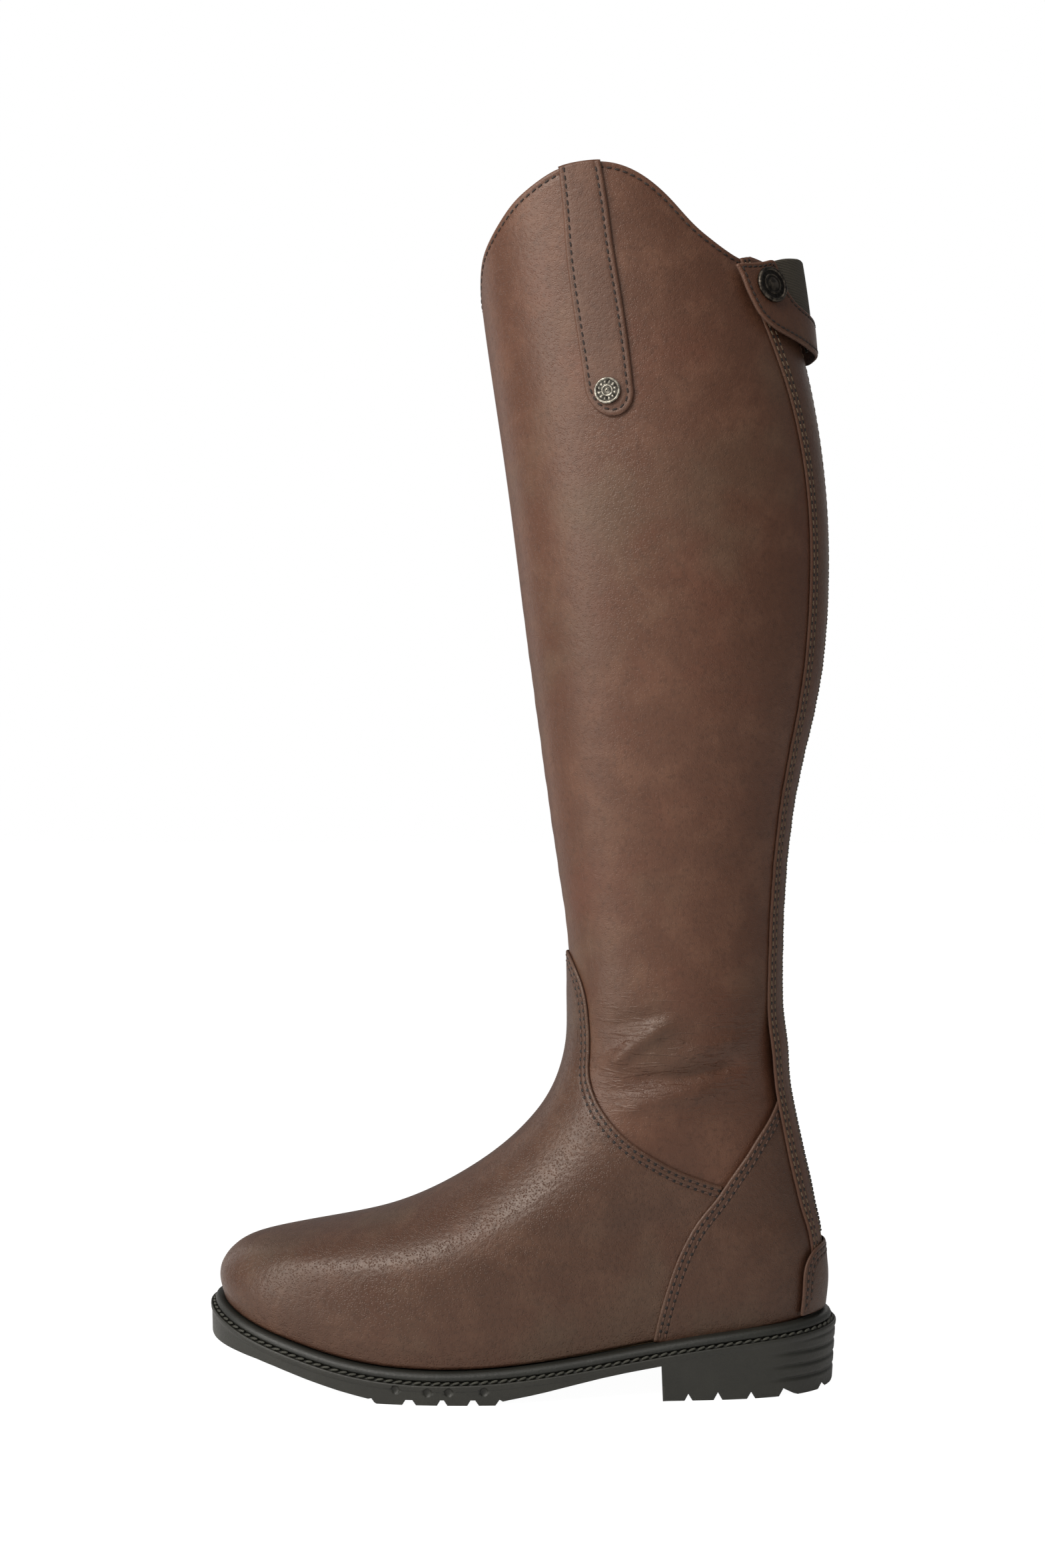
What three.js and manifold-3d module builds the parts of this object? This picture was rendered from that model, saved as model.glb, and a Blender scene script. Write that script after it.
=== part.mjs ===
// Tall riding boot, left foot, millimetres.
// +X toe to heel, -Y outer side, +Y inner side, +Z up, ground at z = 0.
import * as THREE from 'three';
import Module from 'manifold-3d';
import { mergeVertices } from 'three/examples/jsm/utils/BufferGeometryUtils.js';

// ---- overall sizes ----
const bootHeight = 532;         // ground to the highest point of the outer topline
const lastLength = 272.3;       // upper at the welt, toe to heel
const legWidth = 1;             // multiplies the half widths of the leg
const footWidth = 1;            // multiplies the half widths of the foot

// ---- leather and layer fits ----
const legThick = 1.2;
const panelThick = 1.2;
const stripThick = 1.0;
const layerGap = 0.3;           // clearance between neighbouring layers
const liningThick = 0.8;
const liningGap = 1.0;          // clearance from leg leather to lining
const toeInset = 1.5;           // lets the outermost foot layer meet the last shape
const heelInset = 4.2;
const zipSlot = 6;              // half width of the slot between the back strips
const coilHalf = 3.2;
const coilGap = 0.25;           // half the gap between the two coils
const coilHeight = 1.4;
const coilPitch = 18;

// ---- sole unit ----
const soleEdge = 6;             // rubber edge beyond the upper
const weltEdge = 4;
const weltInner = -3;
const weltThick = 3.9;
const soleFit = 0.3;            // clearance between stacked sole layers
const threadLow = 4.4;
const threadHigh = 5.4;
const threadThick = 0.9;
const insoleInset = -3.6;
const insoleThick = 2.2;
const sockInset = -8.6;
const sockThick = 2;
const shankWidth = 14;
const ribDepth = 0.8;
const ribWidth = 2.2;

// ---- zip ----
const arcLevels = [17, 19, 21]; // the slider's arc passes through the back line here
const sliderHeight = 475.4;     // height of the back line behind the closed slider
const sliderLength = 11;
const sliderPlate = 1.1;
const sliderFit = 0.4;          // clearance round the coil
const flangeThick = 0.9;
const handleHeight = 2.6;
const pullLength = 16;
const pullWidth = 7.5;
const pullThick = 1.2;

// ---- snap tab ----
const tabThick = 1.4;
const elasticThick = 1.2;
const tabRest = 3.1;            // inner face over the leg at the sewn edge
const tabStand = 4.5;           // extra stand-off at the back centre, lower edge
const tabLean = 6.8;
const tabHinge = 222;           // degrees round the leg of the sewn edge
const tabEnd = 138.5;
const capRadius = 8;
const capHeight = 2.2;
const studRadius = 2.3;
const studHeight = 1.9;
const socketInner = 4.1;        // clears the stud as the tab swings away
const socketOuter = 5.4;
const socketHeight = 1.2;
const snapAngle = 145.3;
const snapLevel = 21.34;

// ---- side strap ----
const strapThick = 1.4;
const badgeRadius = 5.7;
const badgeHeight = 2.2;

const deg = Math.PI / 180;
const wasm = await Module();
wasm.setup();

// ---- section curves: front point, back point and half widths for each level ----
const front = [
  [-137.3, 31.7], [-139.4, 40.7], [-136.4, 49.7], [-129, 57.7], [-117.3, 62.9], [-97, 67.7],
  [-70, 73.3], [-46.5, 81.1], [-26.5, 91.1], [-8.6, 103.1], [6, 117.7], [15.5, 133.2],
  [20.5, 150.7], [21.3, 168.7], [20.6, 194.7], [16.2, 227.7], [10.6, 267.7], [5.3, 307.7],
  [0, 347.7], [-5.3, 389.7], [-11.2, 431.7], [-16.6, 469.7], [-20.5, 502.7], [-24, 533.7],
];
const back = [
  [135, 30.7], [136.3, 42.7], [136, 51.7], [135.2, 60.7], [134, 69.7], [132, 78.7],
  [130.3, 87.7], [128, 97.7], [126, 106.7], [123.8, 116.7], [121.4, 128.7], [119.2, 141.7],
  [117.2, 155.7], [116.2, 170.7], [116.3, 194.7], [118, 227.7], [123.4, 267.7], [132.1, 307.7],
  [136.3, 347.7], [136, 389.7], [130.9, 431.7], [121.9, 469.7], [110.5, 502.7], [98, 533.7],
];
const legShare = [0, 0, 0.03, 0.08, 0.16, 0.28, 0.42, 0.55, 0.67, 0.78, 0.87, 0.94, 0.98];
const bulge = [1, 1.03, 1.035, 1.03, 1.02];
const legHalf = [36, 36, 38, 42.5, 47.5, 51.5, 53.5, 53.5, 52.5, 52, 52];
const weltPull = [1, 0.85, 0.68, 0.52, 0.38, 0.26, 0.16, 0.09, 0.04];
const planStation = [0, 0.12, 0.3, 0.5, 0.7, 0.88, 1];
const planOuter = [70, 59, 52.4, 45.8, 41, 46.5, 54];
const planInner = [64, 55.5, 50, 39.5, 35.8, 45, 53];
const featherX = [-140, -120, -100, -75, -45, -15, 15, 45, 75, 105, 137];
const featherZ = [34.7, 27.7, 22.2, 16.7, 13.7, 13.9, 16.7, 21.2, 26.2, 29.7, 32.2];

const lengthScale = lastLength / 272.3;
const heightScale = bootHeight / 532;
const levelCount = front.length;

// natural cubic spline through the points
function spline(xs, ys) {
  const n = xs.length;
  const lower = new Array(n).fill(0);
  const mid = new Array(n).fill(1);
  const upper = new Array(n).fill(0);
  const right = new Array(n).fill(0);
  for (let i = 1; i < n - 1; i++) {
    const a = xs[i] - xs[i - 1];
    const b = xs[i + 1] - xs[i];
    lower[i] = a;
    mid[i] = 2 * (a + b);
    upper[i] = b;
    right[i] = 6 * ((ys[i + 1] - ys[i]) / b - (ys[i] - ys[i - 1]) / a);
  }
  for (let i = 1; i < n; i++) {
    const w = lower[i] / mid[i - 1];
    mid[i] -= w * upper[i - 1];
    right[i] -= w * right[i - 1];
  }
  const m = new Array(n).fill(0);
  m[n - 1] = right[n - 1] / mid[n - 1];
  for (let i = n - 2; i >= 0; i--) {
    m[i] = (right[i] - upper[i] * m[i + 1]) / mid[i];
  }
  return (x) => {
    let i = 0;
    while (i < n - 2 && x > xs[i + 1]) i += 1;
    const h = xs[i + 1] - xs[i];
    const t = x - xs[i];
    const u = xs[i + 1] - x;
    const bend = (m[i] * u ** 3 + m[i + 1] * t ** 3) / (6 * h);
    return bend + (ys[i] / h - (m[i] * h) / 6) * u + (ys[i + 1] / h - (m[i + 1] * h) / 6) * t;
  };
}

function padded(list, value) {
  const out = list.slice();
  while (out.length < levelCount) out.push(value);
  return out;
}

const levels = front.map((p, i) => i);
const frontX = spline(levels, front.map((p) => p[0] * lengthScale));
const frontZ = spline(levels, front.map((p) => p[1] * heightScale));
const backX = spline(levels, back.map((p) => p[0] * lengthScale));
const backZ = spline(levels, back.map((p) => p[1] * heightScale));
const shareAt = spline(levels, padded(legShare, 1));
const bulgeAt = spline(levels, padded(bulge, 1));
const legStart = new Array(levelCount - legHalf.length).fill(36);
const legAt = spline(levels, legStart.concat(legHalf).map((w) => w * legWidth));
const pullAt = spline(levels, padded(weltPull, 0));
const outerAt = spline(planStation, planOuter.map((w) => w * footWidth));
const innerAt = spline(planStation, planInner.map((w) => w * footWidth));
const featherAt = spline(featherX.map((x) => x * lengthScale), featherZ.map((z) => z * heightScale));

function smoothstep(a, b, x) {
  const t = Math.min(1, Math.max(0, (x - a) / (b - a)));
  return t * t * (3 - 2 * t);
}

// base surface: angle 0 at the front, 90 on the outer side, 180 at the back
function basePoint(angle, level) {
  const c = Math.cos(angle * deg);
  const s = Math.sin(angle * deg);
  const station = (1 - c) / 2;
  const fx = frontX(level);
  const bx = backX(level);
  const x = fx + (bx - fx) * station;
  const share = shareAt(level);
  const plan = s >= 0 ? outerAt(station) : innerAt(station);
  const half = (plan * (1 - share) + legAt(level) * share) * bulgeAt(level);
  const toeIn = 5 * Math.min(2, Math.max(0, (-40 - x) / 100)) ** 2;
  const fz = frontZ(level);
  const bz = backZ(level);
  const flat = (31.7 + (30.7 - 31.7) * station) * heightScale;
  const z = fz + (bz - fz) * station + pullAt(level) * (featherAt(x) - flat);
  return new THREE.Vector3(x, -s * half + toeIn, z);
}

function baseNormal(angle, level) {
  const du = basePoint(angle + 0.2, level).sub(basePoint(angle - 0.2, level));
  const low = Math.max(0, level - 0.02);
  const dv = basePoint(angle, low + 0.04).sub(basePoint(angle, low));
  return du.cross(dv).normalize();
}

function insetAt(angle, level) {
  const round = Math.abs(((angle % 360) + 540) % 360 - 180);
  const heelward = smoothstep(85, 128, round);
  return (toeInset + (heelInset - toeInset) * heelward) * (1 - smoothstep(10, 13.4, level));
}

function layerPoint(angle, level, offset) {
  const p = basePoint(angle, level);
  return p.addScaledVector(baseNormal(angle, level), offset - insetAt(angle, level));
}

// layers over the base surface
const legOut = 0;
const legIn = -legThick;
const liningOut = legIn - liningGap;
const liningIn = liningOut - liningThick;
const vampIn = legOut + layerGap;
const vampOut = vampIn + panelThick;
const quarterIn = vampOut + layerGap;
const quarterOut = quarterIn + panelThick;

function stripIn(angle, level) {
  return legOut + layerGap + (quarterOut - legOut) * (1 - smoothstep(11.2, 13.2, level));
}

function stripOut(angle, level) {
  return stripIn(angle, level) + stripThick;
}

function range(a, b, step) {
  const out = [];
  const n = Math.round((b - a) / step);
  for (let i = 0; i <= n; i++) out.push(a + ((b - a) * i) / n);
  return out;
}

const outerColumns = [0, 10, 20, 30, 45, 60, 75, 90, 105, 120, 130].concat(range(135, 180, 5));
const mirrored = outerColumns.slice(1, -1).map((a) => 360 - a).reverse();
const loopColumns = outerColumns.concat(mirrored);
const footRows = [0.06].concat(range(1, 13, 1), [13.5, 14]);
const shaftRows = [13.5].concat(range(14, 19, 1), range(19.5, 22, 0.5), [23, 23.5]);
const legRows = [5, 6, 7, 8, 9, 10, 11, 12, 13].concat(shaftRows);

function columnsBetween(a, b) {
  const all = loopColumns.map((c) => c - 360).concat(loopColumns, loopColumns.map((c) => c + 360));
  return [a].concat(all.filter((c) => c > a + 1.5 && c < b - 1.5), [b]);
}

// angle at which the base surface is the given distance from the centre plane at the back
function angleAtWidth(width, level) {
  let low = 90;
  let high = 180;
  for (let i = 0; i < 30; i++) {
    const mid = (low + high) / 2;
    if (-basePoint(mid, level).y > width) low = mid;
    else high = mid;
  }
  return low;
}

// columns that end beside the zip instead of at a fixed angle
function columnsToZip(start, width) {
  const edge = (a, level) => angleAtWidth(width, level);
  const middle = (a, level) => (155 + angleAtWidth(width, level)) / 2;
  return columnsBetween(start, 157).slice(0, -1).concat([middle, edge]);
}

function mirroredToZip(end, width) {
  const edge = (a, level) => 360 - angleAtWidth(width, level);
  const middle = (a, level) => 360 - (155 + angleAtWidth(width, level)) / 2;
  return [edge, middle].concat(columnsBetween(203, end).slice(1));
}

function value(f, angle, level) {
  return typeof f === 'function' ? f(angle, level) : f;
}

// closed solid between two offsets of the base surface
function shell(columns, rows, inner, outer, loop) {
  const nc = columns.length;
  const nr = rows.length;
  const points = [];
  for (const offset of [outer, inner]) {
    for (const level of rows) {
      for (const column of columns) {
        const angle = value(column, 0, level);
        const p = layerPoint(angle, level, value(offset, angle, level));
        points.push(p.x, p.y, p.z);
      }
    }
  }
  const tris = [];
  const id = (side, r, c) => side * nr * nc + r * nc + (c % nc);
  const quad = (a, b, c, d) => tris.push(a, b, c, a, c, d);
  const last = loop ? nc : nc - 1;
  for (let r = 0; r < nr - 1; r++) {
    for (let c = 0; c < last; c++) {
      quad(id(0, r, c), id(0, r, c + 1), id(0, r + 1, c + 1), id(0, r + 1, c));
      quad(id(1, r, c), id(1, r + 1, c), id(1, r + 1, c + 1), id(1, r, c + 1));
    }
  }
  for (let c = 0; c < last; c++) {
    quad(id(1, 0, c), id(1, 0, c + 1), id(0, 0, c + 1), id(0, 0, c));
    quad(id(0, nr - 1, c), id(0, nr - 1, c + 1), id(1, nr - 1, c + 1), id(1, nr - 1, c));
  }
  if (!loop) {
    for (let r = 0; r < nr - 1; r++) {
      quad(id(0, r, 0), id(0, r + 1, 0), id(1, r + 1, 0), id(1, r, 0));
      quad(id(0, r, nc - 1), id(1, r, nc - 1), id(1, r + 1, nc - 1), id(0, r + 1, nc - 1));
    }
  }
  return solidFrom(points, tris);
}

function solidFrom(points, tris) {
  const mesh = new wasm.Mesh({
    numProp: 3,
    vertProperties: new Float32Array(points),
    triVerts: new Uint32Array(tris),
  });
  return new wasm.Manifold(mesh);
}

function solidOf(geometry) {
  const g = geometry.clone();
  g.deleteAttribute('normal');
  g.deleteAttribute('uv');
  const merged = mergeVertices(g, 1e-4);
  return solidFrom(Array.from(merged.attributes.position.array), Array.from(merged.index.array));
}

// side view outline (x, z) pushed across the width from y0 to y1
function sidePrism(outline, y0, y1) {
  const shape = new THREE.Shape(outline.map((p) => new THREE.Vector2(p[0], p[1])));
  const g = new THREE.ExtrudeGeometry(shape, { depth: y1 - y0, bevelEnabled: false });
  g.rotateX(Math.PI / 2);
  g.translate(0, y1, 0);
  return solidOf(g);
}

// plan outline (x, y) pushed up from z0 to z1
function planPrism(outline, z0, z1) {
  const shape = new THREE.Shape(outline.map((p) => new THREE.Vector2(p[0], p[1])));
  const g = new THREE.ExtrudeGeometry(shape, { depth: z1 - z0, bevelEnabled: false });
  g.translate(0, 0, z0);
  return solidOf(g);
}

function box(x0, x1, y0, y1, z0, z1) {
  const g = new THREE.BoxGeometry(x1 - x0, y1 - y0, z1 - z0);
  g.translate((x0 + x1) / 2, (y0 + y1) / 2, (z0 + z1) / 2);
  return solidOf(g);
}

// curve through the given points, sampled
function through(points, steps) {
  const curve = new THREE.SplineCurve(points.map((p) => new THREE.Vector2(p[0], p[1])));
  return curve.getPoints(steps).map((p) => [p.x, p.y]);
}

const scaled = (points) => points.map((p) => [p[0] * lengthScale, p[1] * heightScale]);
const shifted = (points, dx, dz) => points.map((p) => [p[0] + dx, p[1] + dz]);

// ---- edges in side view ----
const toplineOuter = through(scaled([
  [-21, 480], [-18.5, 485], [-17.2, 498], [-8.2, 512], [6.8, 524.3], [20.5, 530.6], [34.6, 532.2],
  [48, 530.6], [61.8, 522.9], [75.2, 510.5], [89.3, 499.3], [100, 494.9], [112, 495], [122, 497],
]), 40);
const toplineInner = through(scaled([
  [-26, 485], [-18, 484.5], [0, 485], [30, 482], [60, 482], [90, 489], [112, 494.8], [122, 497],
]), 24);
const vampEdge = through(scaled([
  [12, 190], [19, 189.5], [22.5, 187], [25.5, 183], [28.2, 177], [30.6, 168], [31.5, 157], [31.3, 146],
  [32, 136], [34.8, 126.6], [41.4, 118.4], [50.5, 109.8], [61.5, 103.2], [72.1, 97.8], [89.3, 90.9],
  [108, 85],
]), 32);
const legLowEdge = through(scaled([
  [8, 172], [20, 172], [23, 158], [23, 145], [24.5, 132], [28, 121], [36, 111.5], [46.5, 103],
  [58.5, 96.5], [70, 92], [88, 88], [120, 86], [150, 86],
]), 26);
const quarterEdge = through(scaled([
  [58.5, 14], [60.5, 28], [62.9, 38.6], [65.5, 49.4], [68.9, 60.2], [72.5, 69.9], [77.5, 79], [84.3, 86.4],
  [97.6, 100.5], [103.6, 108.7], [109.7, 117], [115.5, 127], [119, 134],
]), 26);

function upperCut(outer, inner, drop) {
  const close = [[160, 500 * heightScale], [160, -20], [-150, -20], [-150, 300]];
  const lift = (line) => shifted(line, 0, -drop).concat(close, [[-60, line[0][1] - drop]]);
  return sidePrism(lift(outer), -120, 0.001).add(sidePrism(lift(inner), 0, 120));
}

const group = new THREE.Group();
group.name = 'ridingBoot';
const finishes = {
  leather: [0x62473c, 0.45, 0],
  lining: [0x4a3a31, 0.8, 0],
  rubber: [0x35352f, 0.7, 0],
  thread: [0x2b241f, 0.8, 0],
  board: [0x9a8463, 0.9, 0],
  steel: [0x8d8f92, 0.35, 1],
  antique: [0x3d3934, 0.4, 1],
  silver: [0xa5a193, 0.35, 1],
  elastic: [0x38322a, 0.9, 0],
  nylon: [0x2a231e, 0.6, 0],
};
const slots = {};
for (const [key, look] of Object.entries(finishes)) {
  slots[key] = new THREE.MeshStandardMaterial({ color: look[0], roughness: look[1], metalness: look[2] });
  slots[key].name = key;
}

function place(name, solid, slot) {
  const m = solid.getMesh();
  const g = new THREE.BufferGeometry();
  g.setAttribute('position', new THREE.BufferAttribute(new Float32Array(m.vertProperties), 3));
  g.setIndex(new THREE.BufferAttribute(new Uint32Array(m.triVerts), 1));
  const mesh = new THREE.Mesh(g, slots[slot]);
  mesh.name = name;
  group.add(mesh);
}

// ---- leg ----
const aboveLegEdge = sidePrism(legLowEdge.concat([[150, 600], [-60, 600], [-60, legLowEdge[0][1]]]), -120, 120);
const legCut = upperCut(toplineOuter, toplineInner, 0);
const sideSeam = -45;
const seamGap = 0.6;
const legRear = 12.5;
const legOuter = shell(columnsToZip(sideSeam, legRear), legRows, legIn, legOut, false);
const legInner = shell(mirroredToZip(360 + sideSeam - seamGap, legRear), legRows, legIn, legOut, false);
place('leg_outer', legOuter.intersect(legCut).intersect(aboveLegEdge), 'leather');
place('leg_inner', legInner.intersect(legCut).intersect(aboveLegEdge), 'leather');

// ---- vamp ----
const vampRear = shifted(quarterEdge, 8, 0);
const vampShell = shell(columnsBetween(-134, 134), footRows, vampIn, vampOut, false);
const belowVampEdge = sidePrism(vampEdge.concat([[150, 84], [150, -10], [-160, -10], [-160, 190 * heightScale]]), -120, 120);
const behindQuarter = sidePrism(vampRear.concat([[200, 200], [200, 0]]), -120, 120);
place('vamp', vampShell.intersect(belowVampEdge).subtract(behindQuarter), 'leather');

// ---- heel quarters ----
const quarterRows = footRows.slice(0, 13);
const quarterRegion = sidePrism(quarterEdge.concat([[200, 134 * heightScale], [200, 0], [58.5, 0]]), -120, 120);
for (const side of ['outer', 'inner']) {
  const columns = side === 'outer' ? columnsToZip(108, 12) : mirroredToZip(252, 12);
  const solid = shell(columns, quarterRows, quarterIn, quarterOut, false);
  place('quarter_' + side, solid.intersect(quarterRegion), 'leather');
}

// ---- back strips, one each side of the zip ----
const stripEdgeLevels = [0, 1, 2, 3.4, 6, 7.75, 9.6, 11, 12.2, 13.5, 14.8, 15.9, 17.4, 18.8, 20.2, 20.6, 21, 23.5];
const stripEdgeAngles = [163.5, 163.5, 163.5, 163, 158, 155, 152, 149.5, 148, 149, 151, 152, 150, 150, 144.5, 141.5, 138.5, 137];
const stripEdge = spline(stripEdgeLevels, stripEdgeAngles);

function backBand(side, nearWidth, farAngle, rows, inner, outer, count) {
  const columns = [];
  for (let i = 0; i <= count; i++) {
    const t = i / count;
    columns.push((a, level) => {
      const near = angleAtWidth(nearWidth, level);
      const angle = near + (farAngle(level) - near) * t;
      return side === 'outer' ? angle : 360 - angle;
    });
  }
  if (side === 'outer') columns.reverse();
  return shell(columns, rows, inner, outer, false);
}

const stripRows = [0.12].concat(range(1, 13, 1), shaftRows);
for (const side of ['outer', 'inner']) {
  const strip = backBand(side, zipSlot, stripEdge, stripRows, stripIn, stripOut, 5);
  place('back_strip_' + side, strip.intersect(legCut), 'leather');
  const tapeRows = stripRows.filter((r) => r >= 3 && r <= 21.5);
  const tapeFar = (level) => angleAtWidth(10, level);
  const tapeIn = (a, level) => stripIn(a, level) - 1.7;
  const tapeOut = (a, level) => stripIn(a, level) - 0.9;
  place('zip_tape_' + side, backBand(side, 1.5, tapeFar, tapeRows, tapeIn, tapeOut, 2), 'nylon');
}

// ---- zip coils, ridged ----
function coilRowsFor() {
  const rows = [];
  let level = 3.55;
  const top = 21.55;
  while (level < top) {
    rows.push(level);
    const here = basePoint(180, level);
    const next = basePoint(180, level + 0.05);
    level += (0.05 * coilPitch) / 2 / here.distanceTo(next);
  }
  return rows;
}
const coilRows = coilRowsFor();
for (const side of ['outer', 'inner']) {
  const coilFar = (level) => angleAtWidth(coilHalf, level);
  const coilIn = (a, level) => stripIn(a, level) - 0.1;
  const coilOut = (a, level) => {
    const index = coilRows.indexOf(level);
    return stripIn(a, level) - 0.1 + coilHeight - (index % 2) * 0.5;
  };
  place('zip_coil_' + side, backBand(side, coilGap, coilFar, coilRows, coilIn, coilOut, 1), 'nylon');
}

// ---- linings and stiffeners ----
const liningColumns = range(0, 342, 18);
const liningFootRows = [0, 1, 2, 3, 4, 6, 7, 8, 9, 10, 11];
const liningLegRows = [11.15, 12, 13, 14, 15.5, 17, 18.5, 20, 21, 22, 23.3];
const liningCut = upperCut(toplineOuter, toplineInner, 2.5);
place('lining_foot', shell(liningColumns, liningFootRows, liningIn, liningOut, true), 'lining');
place('lining_leg', shell(liningColumns, liningLegRows, liningIn, liningOut, true).intersect(liningCut), 'lining');
const counterRows = [0, 1, 2, 3, 4, 4.9];
place('heel_counter', shell(columnsBetween(133, 227), counterRows, legIn, 1.3, false), 'board');
place('toe_puff', shell(columnsBetween(-60, 60), [0, 1, 2, 3, 4], legIn, legOut, false), 'board');

// ---- heel tab over the foot of the zip ----
const heelTabEdge = scaled([[131, 59.5], [128.5, 57], [126.5, 52], [125.3, 43], [124.5, 33], [124, 24]]);
const heelTabRegion = sidePrism(heelTabEdge.concat([[170, 24], [170, 59.5 * heightScale]]), -60, 60);
const heelTabIn = (a, level) => stripOut(a, level) + layerGap;
const heelTabOut = (a, level) => heelTabIn(a, level) + 1.1;
const heelTab = shell(columnsBetween(146, 214), [0.12, 1, 2, 3, 3.3], heelTabIn, heelTabOut, false);
place('heel_tab', heelTab.intersect(heelTabRegion), 'leather');

// ---- sole unit ----
function planOutline(offset) {
  const out = [];
  for (let a = 0; a < 360; a += 9) {
    const p = basePoint(a, 0);
    const d = basePoint(a + 0.2, 0).sub(basePoint(a - 0.2, 0));
    const n = new THREE.Vector2(d.y, -d.x).normalize();
    const toward = offset * (n.x * (p.x - 0) + n.y * p.y > 0 ? 1 : -1);
    out.push([p.x + n.x * toward, p.y + n.y * toward]);
  }
  return out;
}

const soleStations = range(-145, -85, 10).concat(range(-65, 145, 21)).map((x) => x * lengthScale);

// slab that follows the feather line between two depths below it
function featherSlab(low, high, x0, x1) {
  const xs = soleStations.filter((x) => x > x0 + 1 && x < x1 - 1);
  xs.unshift(x0);
  xs.push(x1);
  const top = xs.map((x) => [x, featherAt(x) + high]);
  const bottom = xs.map((x) => [x, featherAt(x) + low]).reverse();
  return sidePrism(top.concat(bottom), -90, 90);
}

const weltTop = -soleFit;
const weltLow = weltTop - weltThick;
const soleTop = weltLow - soleFit;
const soleX0 = -145 * lengthScale;
const soleX1 = 145 * lengthScale;
const soleLow = -4;
const soleHigh = 60;
const ringOf = (outer, inner) => planPrism(planOutline(outer), soleLow, soleHigh)
  .subtract(planPrism(planOutline(inner), soleLow - 1, soleHigh + 1));
place('welt', ringOf(weltEdge, weltInner).intersect(featherSlab(weltLow, weltTop, soleX0, soleX1)), 'rubber');
const threadSlab = featherSlab(weltLow, weltLow + threadThick, soleX0, soleX1);
place('welt_thread', ringOf(threadHigh, threadLow).intersect(threadSlab), 'thread');

const tread = [
  [-149, 24], [-146, 18.6], [-138, 16.8], [-124, 15.2], [-114.5, 13.8], [-106, 11.9], [-98.3, 9.9], [-90.8, 7.9],
  [-83.4, 6.1], [-76.1, 4.4], [-69, 3], [-63, 1.9], [-61.5, 2.2], [-60, 0.4],
  [-59, 0], [-48, 0], [-46.5, 2.4], [-43.5, 2.4], [-42, 0], [-33, 0], [-31.5, 2.4], [-30, 2.4],
  [-28.5, 0], [-20, 0], [-18.5, 2.4], [-16.5, 2.4], [-15, 0], [-8, 0], [-6, 2.6], [-4.6, 1.8],
  [-2.4, 2.3], [7, 3.9], [13.8, 5.3], [20.3, 6.8], [27.4, 8.4], [37.7, 10.7], [48, 12.7], [63, 15.3],
  [63.6, 0], [73, 0], [74.6, 3], [76.4, 0], [85.5, 0], [87.4, 3.4], [89.3, 0], [100, 0],
  [101.8, 3], [103.6, 0], [114, 0], [116, 3.4], [120.6, 0.5], [122.5, 0], [131.8, 0], [133.5, 2.6],
  [135, 0.4], [138, 0.4], [141.5, 2.5], [148, 3],
].map((p) => [p[0] * lengthScale, p[1] * heightScale]);
const soleTopLine = soleStations.map((x) => [x, featherAt(x) + soleTop]).reverse();
const soleProfile = sidePrism(tread.concat(soleTopLine), -90, 90);
let rubber = planPrism(planOutline(soleEdge), soleLow, soleHigh).intersect(soleProfile);
const ribZone = box(112 * lengthScale, 170, -60, 60, soleLow, soleHigh);
const ribRing = ringOf(soleEdge + 4, soleEdge - ribDepth).intersect(ribZone);
for (const level of [9, 15, 21]) {
  const band = box(100, 170, -90, 90, level, level + ribWidth);
  rubber = rubber.subtract(ribRing.intersect(band));
}
place('outsole', rubber, 'rubber');

const insoleLow = -soleFit - 0.1 - insoleThick;
const insoleBody = planPrism(planOutline(insoleInset), soleLow, soleHigh);
place('insole_board', insoleBody.intersect(featherSlab(insoleLow, -soleFit - 0.1, soleX0, soleX1)), 'board');
const fillerTop = insoleLow - soleFit;
const fillerLow = soleTop + soleFit;
place('cork_filler', insoleBody.intersect(featherSlab(fillerLow, fillerTop, soleX0, -8)), 'board');
const shankBody = box(-5, 100, -shankWidth / 2, shankWidth / 2, soleLow, soleHigh);
place('shank', shankBody.intersect(featherSlab(fillerLow, fillerTop, -5, 100)), 'steel');
const sockBody = planPrism(planOutline(sockInset), soleLow, soleHigh);
place('sock_liner', sockBody.intersect(featherSlab(0, sockThick, soleX0, soleX1)), 'lining');

// ---- side strap folded over the topline ----
const strapOut = legOut + layerGap + strapThick;
const strapLeft = scaled([[17.5, 540], [18, 525], [22.3, 486], [26.5, 458], [30.4, 433]]);
const strapRound = [];
for (let i = 0; i <= 8; i++) {
  const a = Math.PI + 0.12 + (i / 8) * (Math.PI - 0.24);
  strapRound.push([(40.9 + 10.4 * Math.cos(a)) * lengthScale, (433 + 10.6 * Math.sin(a)) * heightScale]);
}
const strapRight = scaled([[51.3, 434], [49.6, 449], [43.2, 484.4], [38.2, 528], [37.8, 540]]);
const strapRegion = sidePrism(strapLeft.concat(strapRound, strapRight), -90, 0);
const strapRows = range(19.5, 23.5, 0.5);
const foldTop = upperCut(shifted(toplineOuter, 0, strapThick + 0.4), toplineInner, 0);
const foldLow = upperCut(shifted(toplineOuter, 0, 0.4), toplineInner, 0);
const foldColumns = [45, 60, 75, 90, 105, 120];
const strapFace = shell(foldColumns, strapRows, legOut + layerGap, strapOut, false);
const foldIn = liningIn - 1.9;
const strapFold = shell(foldColumns, strapRows, foldIn, strapOut, false).subtract(foldLow);
const strapInner = shell(foldColumns, strapRows, foldIn, foldIn + 1.1, false)
  .intersect(box(0, 100, -90, 0, 506 * heightScale, 560));
const strap = strapFace.add(strapFold).add(strapInner).intersect(strapRegion).intersect(foldTop);
place('side_strap', strap, 'leather');

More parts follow.
